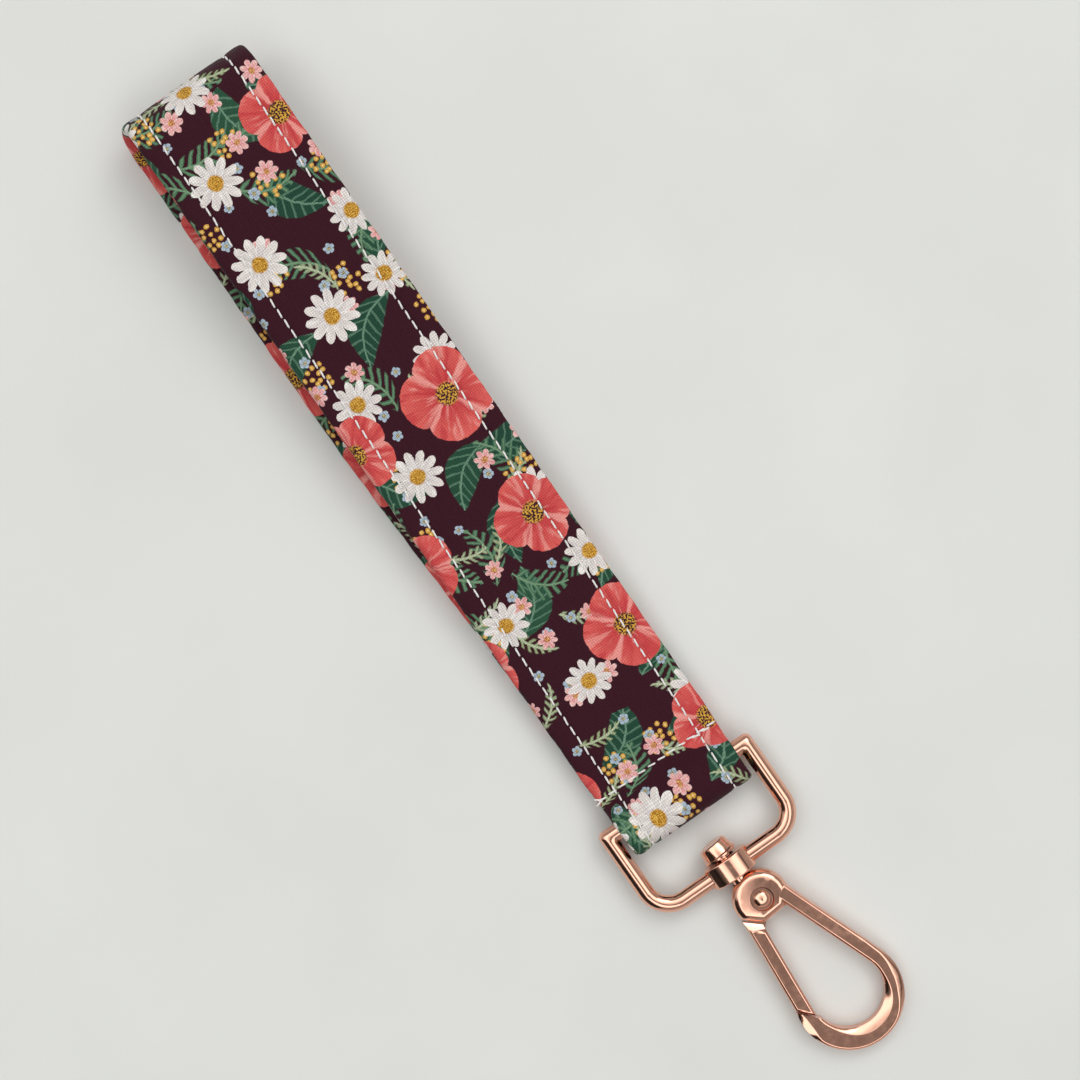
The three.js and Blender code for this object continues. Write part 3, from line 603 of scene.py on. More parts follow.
def finish_metal(piece, plane):
    """Clears stray points, smooths the rounded edges while the flat faces stay flat, and moves
    the mesh from its drawing plane to its place"""
    edit(piece)
    bpy.ops.mesh.remove_doubles(threshold=0.004 * MM)
    bpy.ops.mesh.dissolve_limited(angle_limit=math.radians(0.5))
    bpy.ops.mesh.normals_make_consistent(inside=False)
    bpy.ops.object.mode_set(mode="OBJECT")
    bpy.ops.object.shade_smooth_by_angle(angle=math.radians(32))
    flats = piece.modifiers.new("Flat faces", "WEIGHTED_NORMAL")
    flats.keep_sharp = True
    bpy.ops.object.modifier_apply(modifier=flats.name)
    piece.data.transform(plane)
    piece.data.update()
    return piece


def ring_contour(offset):
    """The ring's middle line, moved outward by an offset: down its right limb, along its lower
    bar, up its left limb and back along the clasp bar, in millimetres"""
    side = RING_HALF_WIDTH + offset
    right = []
    for radius, y, first in ((RING_UPPER_CORNER + 0.3 * offset, offset, 90),
                             (RING_LOWER_CORNER + offset, -RING_PITCH - offset, 0)):
        centre = side - radius, y - math.copysign(radius, y + RING_PITCH / 2)
        for turn in np.radians(np.linspace(first, first - 90, 13)):
            right.append((centre[0] + radius * math.cos(turn), centre[1] + radius * math.sin(turn)))
    return right + [(-x, y) for x, y in reversed(right)]


def model_ring():
    """The clasp ring: round wire with a swivel collar in its lower bar"""
    section = 2 * math.pi * np.arange(40) / 40
    contours = [ring_contour(RING_WIRE_RADIUS * math.cos(turn)) for turn in section]
    deselect()
    bpy.ops.mesh.primitive_torus_add(major_segments=len(contours[0]), minor_segments=len(section))
    piece = named("clasp_ring")
    place_points(piece, [(contour[i][0] * MM, contour[i][1] * MM,
                          RING_WIRE_RADIUS * math.sin(turn) * MM)
                         for i in range(len(contours[0])) for turn, contour in zip(section, contours)])
    point_outward(piece)
    quarter = [(1.1, 3.1), (2.7, 2.55), (3.8, 1.65), (4.3, 0.5)]
    upper = [(-x, z) for x, z in reversed(quarter)] + quarter
    collar = outline_solid("collar", mirrored(upper), COLLAR_LENGTH, 0.3, 3)
    collar.data.transform(Matrix.Rotation(math.pi / 2, 4, "X"))
    combine(piece, shift(collar, 0, -RING_PITCH), "UNION")
    bore = turned("bore", mirrored([(COLLAR_BORE_RADIUS, 6)]), 48, "Y")
    combine(piece, shift(bore, 0, -RING_PITCH), "DIFFERENCE")
    return finish_metal(piece, CLASP_PLANE)


def model_post():
    """The swivel post: shank, flange and head, turned in one piece"""
    flange_radius, flange_thick, head_height, lean = 3.1, 0.6, 2.1, math.radians(5)
    face = COLLAR_LENGTH / 2 + 0.3 + flange_radius * math.tan(lean)
    top = face + flange_thick + head_height
    piece = turned("swivel_post_head", [
        (1.3, -4.0), (1.5, -3.8), (1.5, face), (3.08, face), (3.22, face + 0.12),
        (3.22, face + 0.4), (3.08, face + 0.54), (2.9, face + 0.62), (2.62, top - 0.4),
        (2.52, top - 0.16), (2.3, top - 0.02), (2.1, top), (0.7, top), (0.1, top)], 72, "Y")
    return finish_metal(piece, HOOK_PLANE)


def at(down, across):
    """A point of the hook's plane from its distances down the swivel axis and across it"""
    return across, -down


PIN = at(PIN_DOWN, PIN_ACROSS)


def arc(middle, radius, turns):
    """Points round a middle, given down and across, by their angles from straight down"""
    down, across = middle
    return [at(down + radius * math.cos(t), across + radius * math.sin(t)) for t in turns]


def by_gate(along, beside):
    """A point from the gate's own lines: along it from the pin and to its arm side"""
    c, s = math.cos(-GATE_LEAN), math.sin(-GATE_LEAN)
    return at(PIN_DOWN + along * c - beside * s, PIN_ACROSS + along * s + beside * c)


def shoulder(distance, beside):
    """Where the shoulder line, at a distance from the pin, meets a line beside the gate"""
    return (distance - beside * math.sin(SHOULDER)) / math.cos(SHOULDER)


def tip(gap, beside):
    """Where the slanting end of the gate, moved by a gap, meets a line beside the gate"""
    return GATE_LENGTH + gap + (beside + GATE_OFFSET) * TIP_SLOPE


def hook_outline():
    """The arm and the bend as one outline: down its outer side and back up its inner side"""
    turns = np.linspace(math.pi / 2 + ARM_LEAN, math.radians(-120), 56)
    inner = arc(BEND_INNER, BEND_INNER_RADIUS, turns)
    outer = arc(BEND_OUTER, BEND_OUTER_RADIUS, turns)
    for side in (inner, outer):
        (x0, y0), (x1, y1) = side[-2:]
        side[-1] = (x0 + 5 * (x1 - x0), y0 + 5 * (y1 - y0))
    back = (-ARM_TOP - inner[0][1]) / math.cos(ARM_LEAN)
    arm_inner = (inner[0][0] - back * math.sin(ARM_LEAN), inner[0][1] + back * math.cos(ARM_LEAN))
    arm_outer = (arm_inner[0] + ARM_WIDTH * math.cos(ARM_LEAN),
                 arm_inner[1] + ARM_WIDTH * math.sin(ARM_LEAN))
    return [arm_outer, *outer, *inner[::-1], arm_inner]


def boss_outline():
    """The round boss, with its straight side to the arm and its shoulder for the gate"""
    middle = (PIN_DOWN, PIN_ACROSS)
    neck = SHOULDER - GATE_LEAN
    inner = -math.acos(BOSS_SIDE / GATE_SIDE_RADIUS)
    outer = neck - math.acos(GATE_SIDE_RADIUS / BOSS_RADIUS)
    corner = at(PIN_DOWN + BOSS_SIDE, PIN_ACROSS + 2.5)
    side = arc(middle, GATE_SIDE_RADIUS, np.linspace(inner, neck, 3))
    rim = arc(middle, BOSS_RADIUS, np.linspace(outer, math.radians(-282), 60))
    return [corner, *side, rim[0], *rim[4:-4], rim[-1]]


def model_hook():
    """The hook: boss, arm and bend in one casting, with the slot for the gate's tongue"""
    rim = in_mm("rim_bevel")
    boss_bevel, slot_thick, room_radius, head_radius = 1.4, 2.8, 3.25, 1.95
    socket_radius, socket_start, socket_end = 1.8, -4.25, -0.3
    slot_turns = np.radians(range(-88, 29, 4))
    piece = outline_solid("snap_hook", hook_outline(), HOOK_THICK, rim, 4)
    shape_hook(piece, rim)
    boss = outline_solid("boss", boss_outline(), BOSS_THICK, boss_bevel, 6)
    crown_boss(boss)
    combine(piece, boss, "UNION")
    far = 3 * GATE_WIDTH
    nose = outline_solid("tip_cut", [
        by_gate(tip(GATE_GAP, -far), -far), by_gate(tip(GATE_GAP, 0), 0),
        by_gate(GATE_LENGTH / 2, 0), by_gate(GATE_LENGTH / 2, -far)], 2 * HOOK_THICK)
    combine(piece, nose, "DIFFERENCE")
    bores = turned("bores", mirrored([
        (room_radius, slot_thick / 2), (PIN_HOLE_RADIUS, slot_thick / 2),
        (PIN_HOLE_RADIUS, 1.95), (head_radius, 1.95), (head_radius, 2.2), (2.4, 2.85)]))
    combine(piece, shift(bores, *PIN), "DIFFERENCE")
    fan = arc((PIN_DOWN, PIN_ACROSS), BOSS_RADIUS + GATE_GAP, slot_turns)
    combine(piece, outline_solid("mouth", [PIN, *fan], slot_thick), "DIFFERENCE")
    socket = turned("socket", [(socket_radius, socket_start), (socket_radius, socket_end)], 48,
                    "Y")
    combine(piece, socket, "DIFFERENCE")
    return finish_metal(piece, HOOK_PLANE)


def shape_hook(piece, rim):
    """Thickens the arm up to the boss, draws the bevel out to a broad slope inside the bend, to
    a narrower one outside it and to a short facet outside the nose, and steepens that facet"""
    ramp_start, ramp_end = 11.2, 25.0
    slice_up(piece, [((0, -down * MM, 0), (0, 1, 0))
                     for down in np.linspace(ramp_start, ramp_end, 15)])
    points = points_of(piece).astype(float) / MM
    half = HOOK_THICK / 2
    ramp = smooth((ramp_end + points[:, 1]) / (ramp_end - ramp_start)) * (points[:, 0] > 0)
    points[:, 2] *= 1 + (0.985 * BOSS_THICK / HOOK_THICK - 1) * ramp
    height = np.abs(points[:, 2]) / half
    sloping = smooth((height - 1) / (rim / half) + 1)
    bevelled = height >= 1 - 1.02 * rim / half
    outer_rim = (BEND_OUTER, -1, BEND_OUTER_RADIUS - 0.9, BEND_OUTER_RADIUS + 0.2)
    for (middle, direction, near, far), angle, reach, broad, lift in (
        ((BEND_INNER, 1, BEND_INNER_RADIUS - 0.5, BEND_INNER_RADIUS + 1), 8, 75, 1.25, 0.0),
        (outer_rim, 68, 50, 0.8, 0.0),
        (outer_rim, -92, 24, 0.8, 0.7),
    ):
        flat = points[:, :2] - np.array(at(*middle))
        distance = np.hypot(flat[:, 0], flat[:, 1])
        on_rim = (distance > near) & (distance < far)
        turn = np.degrees(np.arctan2(flat[:, 0], -flat[:, 1]))
        share = smooth((reach - np.abs(turn - angle)) / (0.85 * reach))
        grow = direction * broad * share * sloping * on_rim
        points[:, :2] += flat / np.maximum(distance, 0.1)[:, None] * grow[:, None]
        raised = lift * share * (bevelled & on_rim)
        points[:, 2] += np.sign(points[:, 2]) * raised * (half - np.abs(points[:, 2]))
    place_points(piece, points * MM)


def crown_boss(boss):
    """Gives the boss's faces the slight crown of a casting, highest beside the arm"""
    crown_fall = 150
    top_x, top_y = PIN[0] + 2.2, PIN[1] - 1.9
    slice_up(boss, [(((PIN[0] + step) * MM, (PIN[1] + step) * MM, 0), normal)
                    for step in np.arange(-3.5, 3.6, 1.0) for normal in ((1, 0, 0), (0, 1, 0))])
    points = points_of(boss).astype(float) / MM
    away = np.hypot(points[:, 0] - top_x, points[:, 1] - top_y)
    points[:, 2] *= 1 - away ** 2 / crown_fall / (BOSS_THICK / 2)
    place_points(boss, points * MM)


def model_gate():
    """The push gate: a bevelled bar, and a tongue that turns on the pin in the boss"""
    inner, outer = GATE_WIDTH / 2 - GATE_OFFSET, -GATE_WIDTH / 2 - GATE_OFFSET
    clear = GATE_SIDE_RADIUS + GATE_GAP
    pocket_radius, sweep_radius, groove_half = 1.85, 5.5, 0.4
    piece = outline_solid("push_gate", [
        by_gate(shoulder(clear, outer), outer), by_gate(tip(0, outer), outer),
        by_gate(tip(0, inner), inner), by_gate(shoulder(clear, inner), inner)],
        GATE_THICK, in_mm("rim_bevel"), 4)
    slope_root(piece, clear)
    tongue = turned("tongue", mirrored([(TONGUE_RADIUS, TONGUE_THICK / 2)]))
    combine(piece, shift(tongue, *PIN), "UNION")
    web = outline_solid("web", [
        by_gate(0.9, 0.2 - TONGUE_RADIUS), by_gate(shoulder(clear, outer) + 0.9, outer + 0.2),
        by_gate(shoulder(clear, inner) + 0.9, inner - 0.2), by_gate(2.7, 0), by_gate(0, 0)],
        TONGUE_THICK)
    combine(piece, web, "UNION")
    pocket = turned("pocket", [(pocket_radius, POCKET_TOP - POCKET_DEPTH),
                               (pocket_radius, POCKET_TOP + POCKET_DEPTH)])
    combine(piece, shift(pocket, *PIN), "DIFFERENCE")
    sweep = [PIN] + [
        (PIN[0] + sweep_radius * math.cos(turn), PIN[1] + sweep_radius * math.sin(turn))
        for turn in np.radians((45, 62, 80, 97))]
    start, along = spring_leg(SPRING_START, -1)
    side = Vector((-along.y, along.x)) * groove_half
    end = start + along * (SPRING_LEG + 0.5)
    groove = [tuple(p) for p in (start + side, start - side, end - side, end + side)]
    for name, outline in (("leg_sweep", sweep), ("leg_groove", groove)):
        room = outline_solid(name, outline, 2 * POCKET_DEPTH, height=POCKET_TOP)
        combine(piece, room, "DIFFERENCE")
    hole = turned("hole", mirrored([(PIN_HOLE_RADIUS, 5)]), 48)
    combine(piece, shift(hole, *PIN), "DIFFERENCE")
    return finish_metal(piece, HOOK_PLANE)


def slope_root(piece, clear):
    """Draws the bevel at the gate's root out to a broad slope"""
    slope_width, slope_reach, fade, flat_share = 1.3, 2.2, 0.6, 0.62
    points = points_of(piece).astype(float) / MM
    along = Vector((math.sin(-GATE_LEAN), -math.cos(-GATE_LEAN)))
    from_pin = (points[:, 0] - PIN[0]) * along.x + (points[:, 1] - PIN[1]) * along.y
    root = smooth((shoulder(clear, -GATE_OFFSET) + slope_reach - from_pin) / fade)
    top = smooth((np.abs(points[:, 2]) / (GATE_THICK / 2) - flat_share) / (1 - flat_share))
    points[:, 0] += slope_width * root * top * along.x
    points[:, 1] += slope_width * root * top * along.y
    place_points(piece, points * MM)


def model_pin():
    """The gate pin: a rivet with a low domed head on each side"""
    seat = 2.25
    dome = [(1.4, 0.06), (1.34, 0.13), (1.2, 0.2), (1.0, 0.3), (0.8, 0.38), (0.6, 0.43),
            (0.4, 0.47), (0.2, 0.49), (0.05, 0.5)]
    upper = [(0.8, seat), (1.38, seat)] + [(r, seat + h) for r, h in dome]
    return finish_metal(shift(turned("gate_rivet", mirrored(upper)), *PIN), HOOK_PLANE)


def spring_leg(degrees, sense):
    """Where a straight leg leaves the coil, and its direction"""
    turn = math.radians(degrees)
    start = Vector((PIN[0] + SPRING_RADIUS * math.cos(turn),
                    PIN[1] + SPRING_RADIUS * math.sin(turn)))
    return start, Vector((-sense * math.sin(turn), sense * math.cos(turn)))


def model_spring():
    """The gate's torsion spring: a coil round the pin and two straight legs"""
    steps = 63
    first, first_way = spring_leg(SPRING_START, -1)
    last, last_way = spring_leg(SPRING_START + 360 * SPRING_COILS, 1)
    path = [(*(first + first_way * SPRING_LEG), SPRING_BOTTOM)]
    for i in range(steps + 1):
        on_coil, _ = spring_leg(SPRING_START + 360 * SPRING_COILS * i / steps, 1)
        path.append((*on_coil, SPRING_BOTTOM + (SPRING_TOP - SPRING_BOTTOM) * i / steps))
    path.append((*(last + last_way * SPRING_LEG), SPRING_TOP))
    deselect()
    bpy.ops.curve.primitive_nurbs_path_add()
    wire = bpy.context.object
    wire.data.splines.clear()
    spline = wire.data.splines.new("POLY")
    spline.points.add(len(path) - 1)
    for point, place in zip(spline.points, path):
        point.co = (*(v * MM for v in place), 1)
    wire.data.bevel_depth = SPRING_WIRE_RADIUS * MM
    wire.data.bevel_resolution = 3
    wire.data.use_fill_caps = True
    bpy.ops.object.convert(target="MESH")
    return finish_metal(named("gate_torsion_spring"), HOOK_PLANE)


def add(tree, kind, sockets=(), stops=(), **settings):
    """Adds a shader node with its settings. Its sockets come in order or by name, and each takes
    a value, an output or a node."""
    node = tree.nodes.new("ShaderNode" + kind)
    for key, value in settings.items():
        setattr(node, key, value)
    for i, (position, shade) in enumerate(stops):
        ramp = node.color_ramp.elements
        stop = ramp[i] if i < 2 else ramp.new(position)
        stop.position = position
        stop.color = shade
    keyed = sockets if isinstance(sockets, dict) else dict(enumerate(sockets))
    for key, value in keyed.items():
        open_sockets = [s for s in node.inputs if s.enabled]
        socket = next(s for i, s in enumerate(open_sockets) if key in (i, s.name))
        if isinstance(value, bpy.types.Node):
            value = next(s for s in value.outputs if s.enabled)
        if isinstance(value, bpy.types.NodeSocket):
            tree.links.new(value, socket)
        else:
            socket.default_value = value
    return node


def new_material(name):
    """A material with an empty tree"""
    material = bpy.data.materials.new(name)
    material.use_nodes = True
    material.node_tree.nodes.clear()
    return material, material.node_tree


def finish_material(tree, sockets):
    """Adds the shader with its sockets, and the output"""
    shader = add(tree, "BsdfPrincipled", sockets)
    add(tree, "OutputMaterial", {"Surface": shader})


def inks(*shades):
    """Colours for the print, each given as sRGB hex or by one of the settings"""
    return [linear(shade) if isinstance(shade, str) else tuple(shade) for shade in shades]


def scatter(tree, cloth, cell, jitter, offset):
    """Scatters places over the cloth, one to a cell of the given size in millimetres. Returns
    the turned place within the cell, in millimetres, three chances from 0 to 1, and where the
    middle of the cell lies on the cloth."""
    away = (offset, offset * 1.7, 0)
    moved = add(tree, "VectorMath", [cloth, away], operation="ADD")
    cells = add(tree, "TexVoronoi", {"Vector": moved, "Scale": 1 / cell, "Randomness": jitter},
                voronoi_dimensions="2D")
    place = add(tree, "VectorMath", [moved, cells.outputs["Position"]], operation="SUBTRACT")
    chance = add(tree, "SeparateColor", [cells.outputs["Color"]])
    turn = add(tree, "Math", [chance.outputs[0], 2 * math.pi], operation="MULTIPLY")
    turned_place = add(tree, "VectorRotate", {"Vector": place, "Angle": turn},
                       rotation_type="Z_AXIS")
    home = add(tree, "VectorMath", [cells.outputs["Position"], away], operation="SUBTRACT")
    return turned_place, chance.outputs, home


def flower(tree, place, petals, reach, notch, roundness, size):
    """A flower's mask, the distance from its middle, the nearness to the middle of a petal and
    the angle round it"""
    distance = add(tree, "VectorMath", [place], operation="LENGTH").outputs["Value"]
    parts = add(tree, "SeparateXYZ", [place])
    angle = add(tree, "Math", [parts.outputs[1], parts.outputs[0]], operation="ARCTAN2")
    spread = add(tree, "Math", [angle, petals / 2], operation="MULTIPLY")
    wave = add(tree, "Math", [spread], operation="COSINE")
    lobe = add(tree, "Math", [wave], operation="ABSOLUTE")
    shaped = add(tree, "Math", [lobe, roundness], operation="POWER")
    edge = add(tree, "Math", [shaped, reach * notch, reach * (1 - notch)], operation="MULTIPLY_ADD")
    scaled = add(tree, "Math", [edge, size], operation="MULTIPLY")
    inside = add(tree, "Math", [scaled, distance], operation="SUBTRACT")
    mask = add(tree, "MapRange", [inside, 0.0, 0.12, 0.0, 1.0])
    return mask, distance, lobe, angle


def present(tree, chance, share, mask):
    """Keeps a motif in only a share of its cells"""
    here = add(tree, "Math", [chance, share], operation="LESS_THAN")
    return add(tree, "Math", [mask, here], operation="MULTIPLY")


def print_leaves(tree, cloth, below, colours, cell, offset, share, reach, width, whole, spacing):
    """A layer of leaves on bent stems: sprigs of slanting leaflets, or whole leaves that show
    their side veins. whole is 0 or 2, and spacing goes from one leaflet or vein to the next."""
    stem_bend, slant = 0.06, -0.75
    place, chance, _ = scatter(tree, cloth, cell, 0.55, offset)
    parts = add(tree, "SeparateXYZ", [place])
    x, y = parts.outputs[0], parts.outputs[1]
    squared = add(tree, "Math", [x, x], operation="MULTIPLY")
    bent = add(tree, "Math", [squared, stem_bend, y], operation="MULTIPLY_ADD")
    beside = add(tree, "Math", [bent], operation="ABSOLUTE")
    slanted = add(tree, "Math", [beside, slant, x], operation="MULTIPLY_ADD")
    phase = add(tree, "Math", [slanted, 2 * math.pi / spacing], operation="MULTIPLY")
    leaflets = add(tree, "Math", [phase], operation="SINE")
    filled = add(tree, "Math", [leaflets, whole], operation="ADD")
    taper = add(tree, "Math", [squared, -width / reach ** 2, width], operation="MULTIPLY_ADD")
    room = add(tree, "Math", [taper, beside], operation="SUBTRACT")
    leaf = add(tree, "Math", [room, filled], operation="MINIMUM")
    leaf_mask = add(tree, "MapRange", [leaf, -0.15, 0.1, 0.0, 1.0])
    within = add(tree, "MapRange", [taper, 0.1, 0.3, 0.0, 1.0])
    stem = add(tree, "MapRange", [beside, 0.3, 0.18, 0.0, 1.0])
    stem_mask = add(tree, "Math", [stem, within], operation="MULTIPLY")
    either = add(tree, "Math", [leaf_mask, stem_mask], operation="MAXIMUM")
    mask = present(tree, chance[1], share, either)
    tone = add(tree, "Mix", [chance[2], colours[0], colours[1]], data_type="RGBA")
    vein = add(tree, "MapRange", [leaflets, 0.55, 0.95, 0.0, 0.5])
    rib = add(tree, "MapRange", [beside, 0.24, 0.12, 0.0, 0.8])
    lines = add(tree, "Math", [vein, rib], operation="MAXIMUM")
    veined = add(tree, "Mix", [lines, tone, colours[2]], data_type="RGBA")
    return add(tree, "Mix", [mask, below, veined], data_type="RGBA")


def print_flowers(tree, cloth, below, colours, cell, jitter, offset, share, petals, reach, notch,
                  roundness, heart):
    """A layer of flowers: petals shaded from the middle out, lined along their folds and brushed
    with light and dark strokes, and a heart with a ring of stamens. heart is its share of the
    reach."""
    inner, outer, light, heart_dark, stamen = colours
    place, chance, _ = scatter(tree, cloth, cell, jitter, offset)
    size = add(tree, "MapRange", [chance[2], 0.0, 1.0, 0.8, 1.0])
    mask, distance, lobe, angle = flower(tree, place, petals, reach, notch, roundness, size)
    mask = present(tree, chance[1], share, mask)
    out = add(tree, "Math", [distance, reach], operation="DIVIDE")
    round_about = add(tree, "Math", [angle, 5.0], operation="MULTIPLY")
    outward = add(tree, "Math", [out, 1.6], operation="MULTIPLY")
    brushed = add(tree, "CombineXYZ", [round_about, outward, chance[2]])
    ripple = add(tree, "TexNoise", {"Vector": brushed, "Scale": 1.0, "Detail": 1.5})
    grain = add(tree, "TexNoise", {"Vector": place, "Scale": 22 / reach, "Detail": 0.0})
    dots = add(tree, "MapRange", [grain, 0.45, 0.58, 0.0, 1.0])
    centre = add(tree, "Mix", [dots, heart_dark, stamen], data_type="RGBA")
    petal = add(tree, "Mix", [out, inner, outer], data_type="RGBA")
    for measure, absent, full, strength, shade in (
        (lobe, 0.34, 0.16, 0.75, light),
        (ripple, 0.55, 0.66, 0.55, light),
        (ripple, 0.45, 0.34, 0.6, inner),
        (out, heart + 0.05, heart - 0.02, 1.0, centre),
    ):
        here = add(tree, "MapRange", [measure, absent, full, 0.0, strength])
        petal = add(tree, "Mix", [here, petal, shade], data_type="RGBA")
    return add(tree, "Mix", [mask, below, petal], data_type="RGBA")


def print_berries(tree, cloth, below, colours, cell, offset, share, cluster, berry):
    """A layer of loose clusters of round berries with a small light on each"""
    spot, _, middle = scatter(tree, cloth, berry * 3.1, 0.5, offset + 3)
    place, chance, _ = scatter(tree, middle, cell, 0.6, offset)
    spread = add(tree, "VectorMath", [place], operation="LENGTH").outputs["Value"]
    within = add(tree, "Math", [spread, cluster], operation="LESS_THAN")
    inside = present(tree, chance[1], share, within)
    distance = add(tree, "VectorMath", [spot], operation="LENGTH").outputs["Value"]
    round_mask = add(tree, "MapRange", [distance, berry + 0.08, berry - 0.04, 0.0, 1.0])
    mask = add(tree, "Math", [round_mask, inside], operation="MULTIPLY")
    core = add(tree, "MapRange", [distance, berry * 0.55, berry * 0.35, 0.0, 1.0])
    tone = add(tree, "Mix", [core, *colours], data_type="RGBA")
    return add(tree, "Mix", [mask, below, tone], data_type="RGBA")


def print_motifs(tree, cloth):
    """The print on its ground, from the leaves at the back to the poppies on top"""
    colours = bpy.context.scene.wristlet_colours
    ink = tuple(colours.ground)
    ink = print_leaves(tree, cloth, ink, inks(colours.leaf, "#1f4535", "#759a80"), cell=14.0,
                       offset=31.0, share=0.75, reach=6.8, width=3.1, whole=2, spacing=1.7)
    ink = print_leaves(tree, cloth, ink, inks("#38644c", "#4b7455", "#819f7d"), cell=11.5,
                       offset=62.0, share=0.6, reach=5.8, width=2.6, whole=0, spacing=1.55)
    ink = print_leaves(tree, cloth, ink, inks("#93a184", "#7d8a5c", "#c1caa9"), cell=9.5,
                       offset=77.0, share=0.5, reach=4.4, width=1.2, whole=0, spacing=1.25)
    ink = print_berries(tree, cloth, ink, inks("#d6a24a", "#f0cf84"), cell=10.5, offset=12.0,
                        share=0.6, cluster=2.9, berry=0.42)
    ink = print_flowers(
        tree, cloth, ink, inks("#8fa6b8", "#c3d0da", "#8496a8", "#2c2f3c", "#e9d9a0"), cell=4.8,
        jitter=0.7, offset=54.0, share=0.3, petals=5, reach=1.15, notch=0.3, roundness=0.7, heart=0.3)
    ink = print_flowers(
        tree, cloth, ink, inks("#d98487", "#f3c5be", "#f6dbd6", "#a63a3f", "#e9c070"), cell=8.5,
        jitter=0.6, offset=93.0, share=0.5, petals=7, reach=2.1, notch=0.48, roundness=0.6, heart=0.25)
    ink = print_flowers(
        tree, cloth, ink, inks("#cfc8c6", colours.daisy, "#fbf7f3", "#a8741f", "#e2b04f"), cell=15.0,
        jitter=0.5, offset=8.0, share=0.55, petals=11, reach=5.0, notch=0.5, roundness=0.6, heart=0.27)
    return print_flowers(
        tree, cloth, ink, inks("#c0333c", colours.poppy, "#f4a79d", "#3a1a26", "#d9a441"), cell=25.0,
        jitter=0.35, offset=45.0, share=0.85, petals=4, reach=8.4, notch=0.24, roundness=0.5,
        heart=0.22)


def printed_cotton():
    """Quilting cotton, plain woven and surface printed: matt, with a fine grid of yarns in its bump,
    painted shade between the yarns and a painted highlight where they cross, and a slight fuzz that
    brightens it at low angles"""
    material, tree = new_material("printed quilting cotton")
    turn_to_a_mm = math.pi / in_mm("yarn_spacing")
    map_node = add(tree, "UVMap", uv_map="cloth")
    cloth = add(tree, "VectorMath", {0: map_node, "Scale": 1 / MM}, operation="SCALE")
    wander = add(tree, "TexNoise", {"Vector": cloth, "Scale": 0.9, "Detail": 2.0})
    centred = add(tree, "VectorMath", [wander.outputs["Color"], (0.5, 0.5, 0.5)],
                  operation="SUBTRACT")
    drift = add(tree, "VectorMath", {0: centred, "Scale": 0.5}, operation="SCALE")
    drawn = add(tree, "VectorMath", [cloth, drift], operation="ADD")
    ink = print_motifs(tree, drawn)

    split = add(tree, "SeparateXYZ", [cloth])
    across = add(tree, "Math", [split.outputs[0], turn_to_a_mm], operation="MULTIPLY")
    along = add(tree, "Math", [split.outputs[1], turn_to_a_mm], operation="MULTIPLY")
    warp = add(tree, "Math", [across], operation="SINE")
    weft = add(tree, "Math", [along], operation="SINE")
    crossing = add(tree, "Math", [warp, weft], operation="MULTIPLY")
    yarns = add(tree, "Math", [crossing], operation="ABSOLUTE")
    slub = add(tree, "Mapping", {"Vector": cloth, "Scale": (2.2, 0.22, 1)})
    uneven = add(tree, "TexNoise", {"Vector": slub, "Scale": 1.0, "Detail": 3.0})
    depth = add(tree, "Math", [uneven, 0.5, yarns], operation="MULTIPLY_ADD")
    # Painted shade and highlight: the print darkens to 0.72 in the gaps between the yarns and lightens
    # to 1.14 where they cross, and also varies at random with the slubs
    value = add(tree, "MapRange", [depth, 0.1, 1.25, 0.72, 1.14])
    woven = add(tree, "HueSaturation", {"Value": value, "Color": ink})
    bump = add(tree, "Bump", {"Height": depth, "Distance": 0.07 * MM, "Strength": 0.75})
    rough = add(tree, "MapRange", [uneven, 0.3, 0.7, 0.8, 0.92])
    finish_material(tree, {"Base Color": woven, "Roughness": rough, "Normal": bump,
                           "Sheen Weight": 0.07, "Sheen Roughness": 0.4,
                           "Specular IOR Level": 0.18})
    return material


def nonwoven_interfacing():
    """Fusible interfacing, pressed from loose fibres: dull and felted"""
    material, tree = new_material("fusible nonwoven interfacing")
    place = add(tree, "TexCoord").outputs["Object"]
    fibres = add(tree, "TexNoise", {"Vector": place, "Scale": 2.2 / MM, "Detail": 5.0})
    tone = add(tree, "ValToRGB", [fibres], [(0.35, linear("#d5d0c4")), (0.7, linear("#efece3"))])
    bump = add(tree, "Bump", {"Height": fibres, "Distance": 0.05 * MM, "Strength": 0.6})
    finish_material(tree, {"Base Color": tone, "Roughness": 0.95, "Normal": bump})
    return material


def sewing_thread():
    """Spun polyester thread of two plies: off-white, with a faint lustre and the twist of its plies
    showing as slanting ridges in its bump, with painted shade in the grooves and a painted highlight
    on the crests"""
    material, tree = new_material("spun polyester thread")
    plies_round, twist = 2, 22.0
    map_node = add(tree, "UVMap", uv_map="thread")
    split = add(tree, "SeparateXYZ", [map_node])
    length = add(tree, "Math", [split.outputs[1], twist], operation="MULTIPLY")
    slant = add(tree, "Math", [split.outputs[0], 2 * math.pi * plies_round, length],
                operation="MULTIPLY_ADD")
    plies = add(tree, "Math", [slant], operation="SINE")
    place = add(tree, "TexCoord").outputs["Object"]
    fuzz = add(tree, "TexNoise", {"Vector": place, "Scale": 5.2 / MM, "Detail": 2.0})
    ridge = add(tree, "Math", [plies, 0.5, fuzz], operation="MULTIPLY_ADD")
    # Painted shade and highlight: the thread's colour darkens to 0.82 in the grooves between the plies
    # and lightens to 1.04 on their crests, and also varies at random with the fuzz
    shade = add(tree, "MapRange", [ridge, 0.0, 1.0, 0.82, 1.04])
    colour = tuple(bpy.context.scene.wristlet_colours.thread)
    tone = add(tree, "HueSaturation", {"Value": shade, "Color": colour})
    bump = add(tree, "Bump", {"Height": ridge, "Distance": 0.04 * MM, "Strength": 0.5})
    finish_material(tree, {"Base Color": tone, "Roughness": 0.55, "Normal": bump,
                           "Sheen Weight": 0.2, "Sheen Roughness": 0.4})
    return material


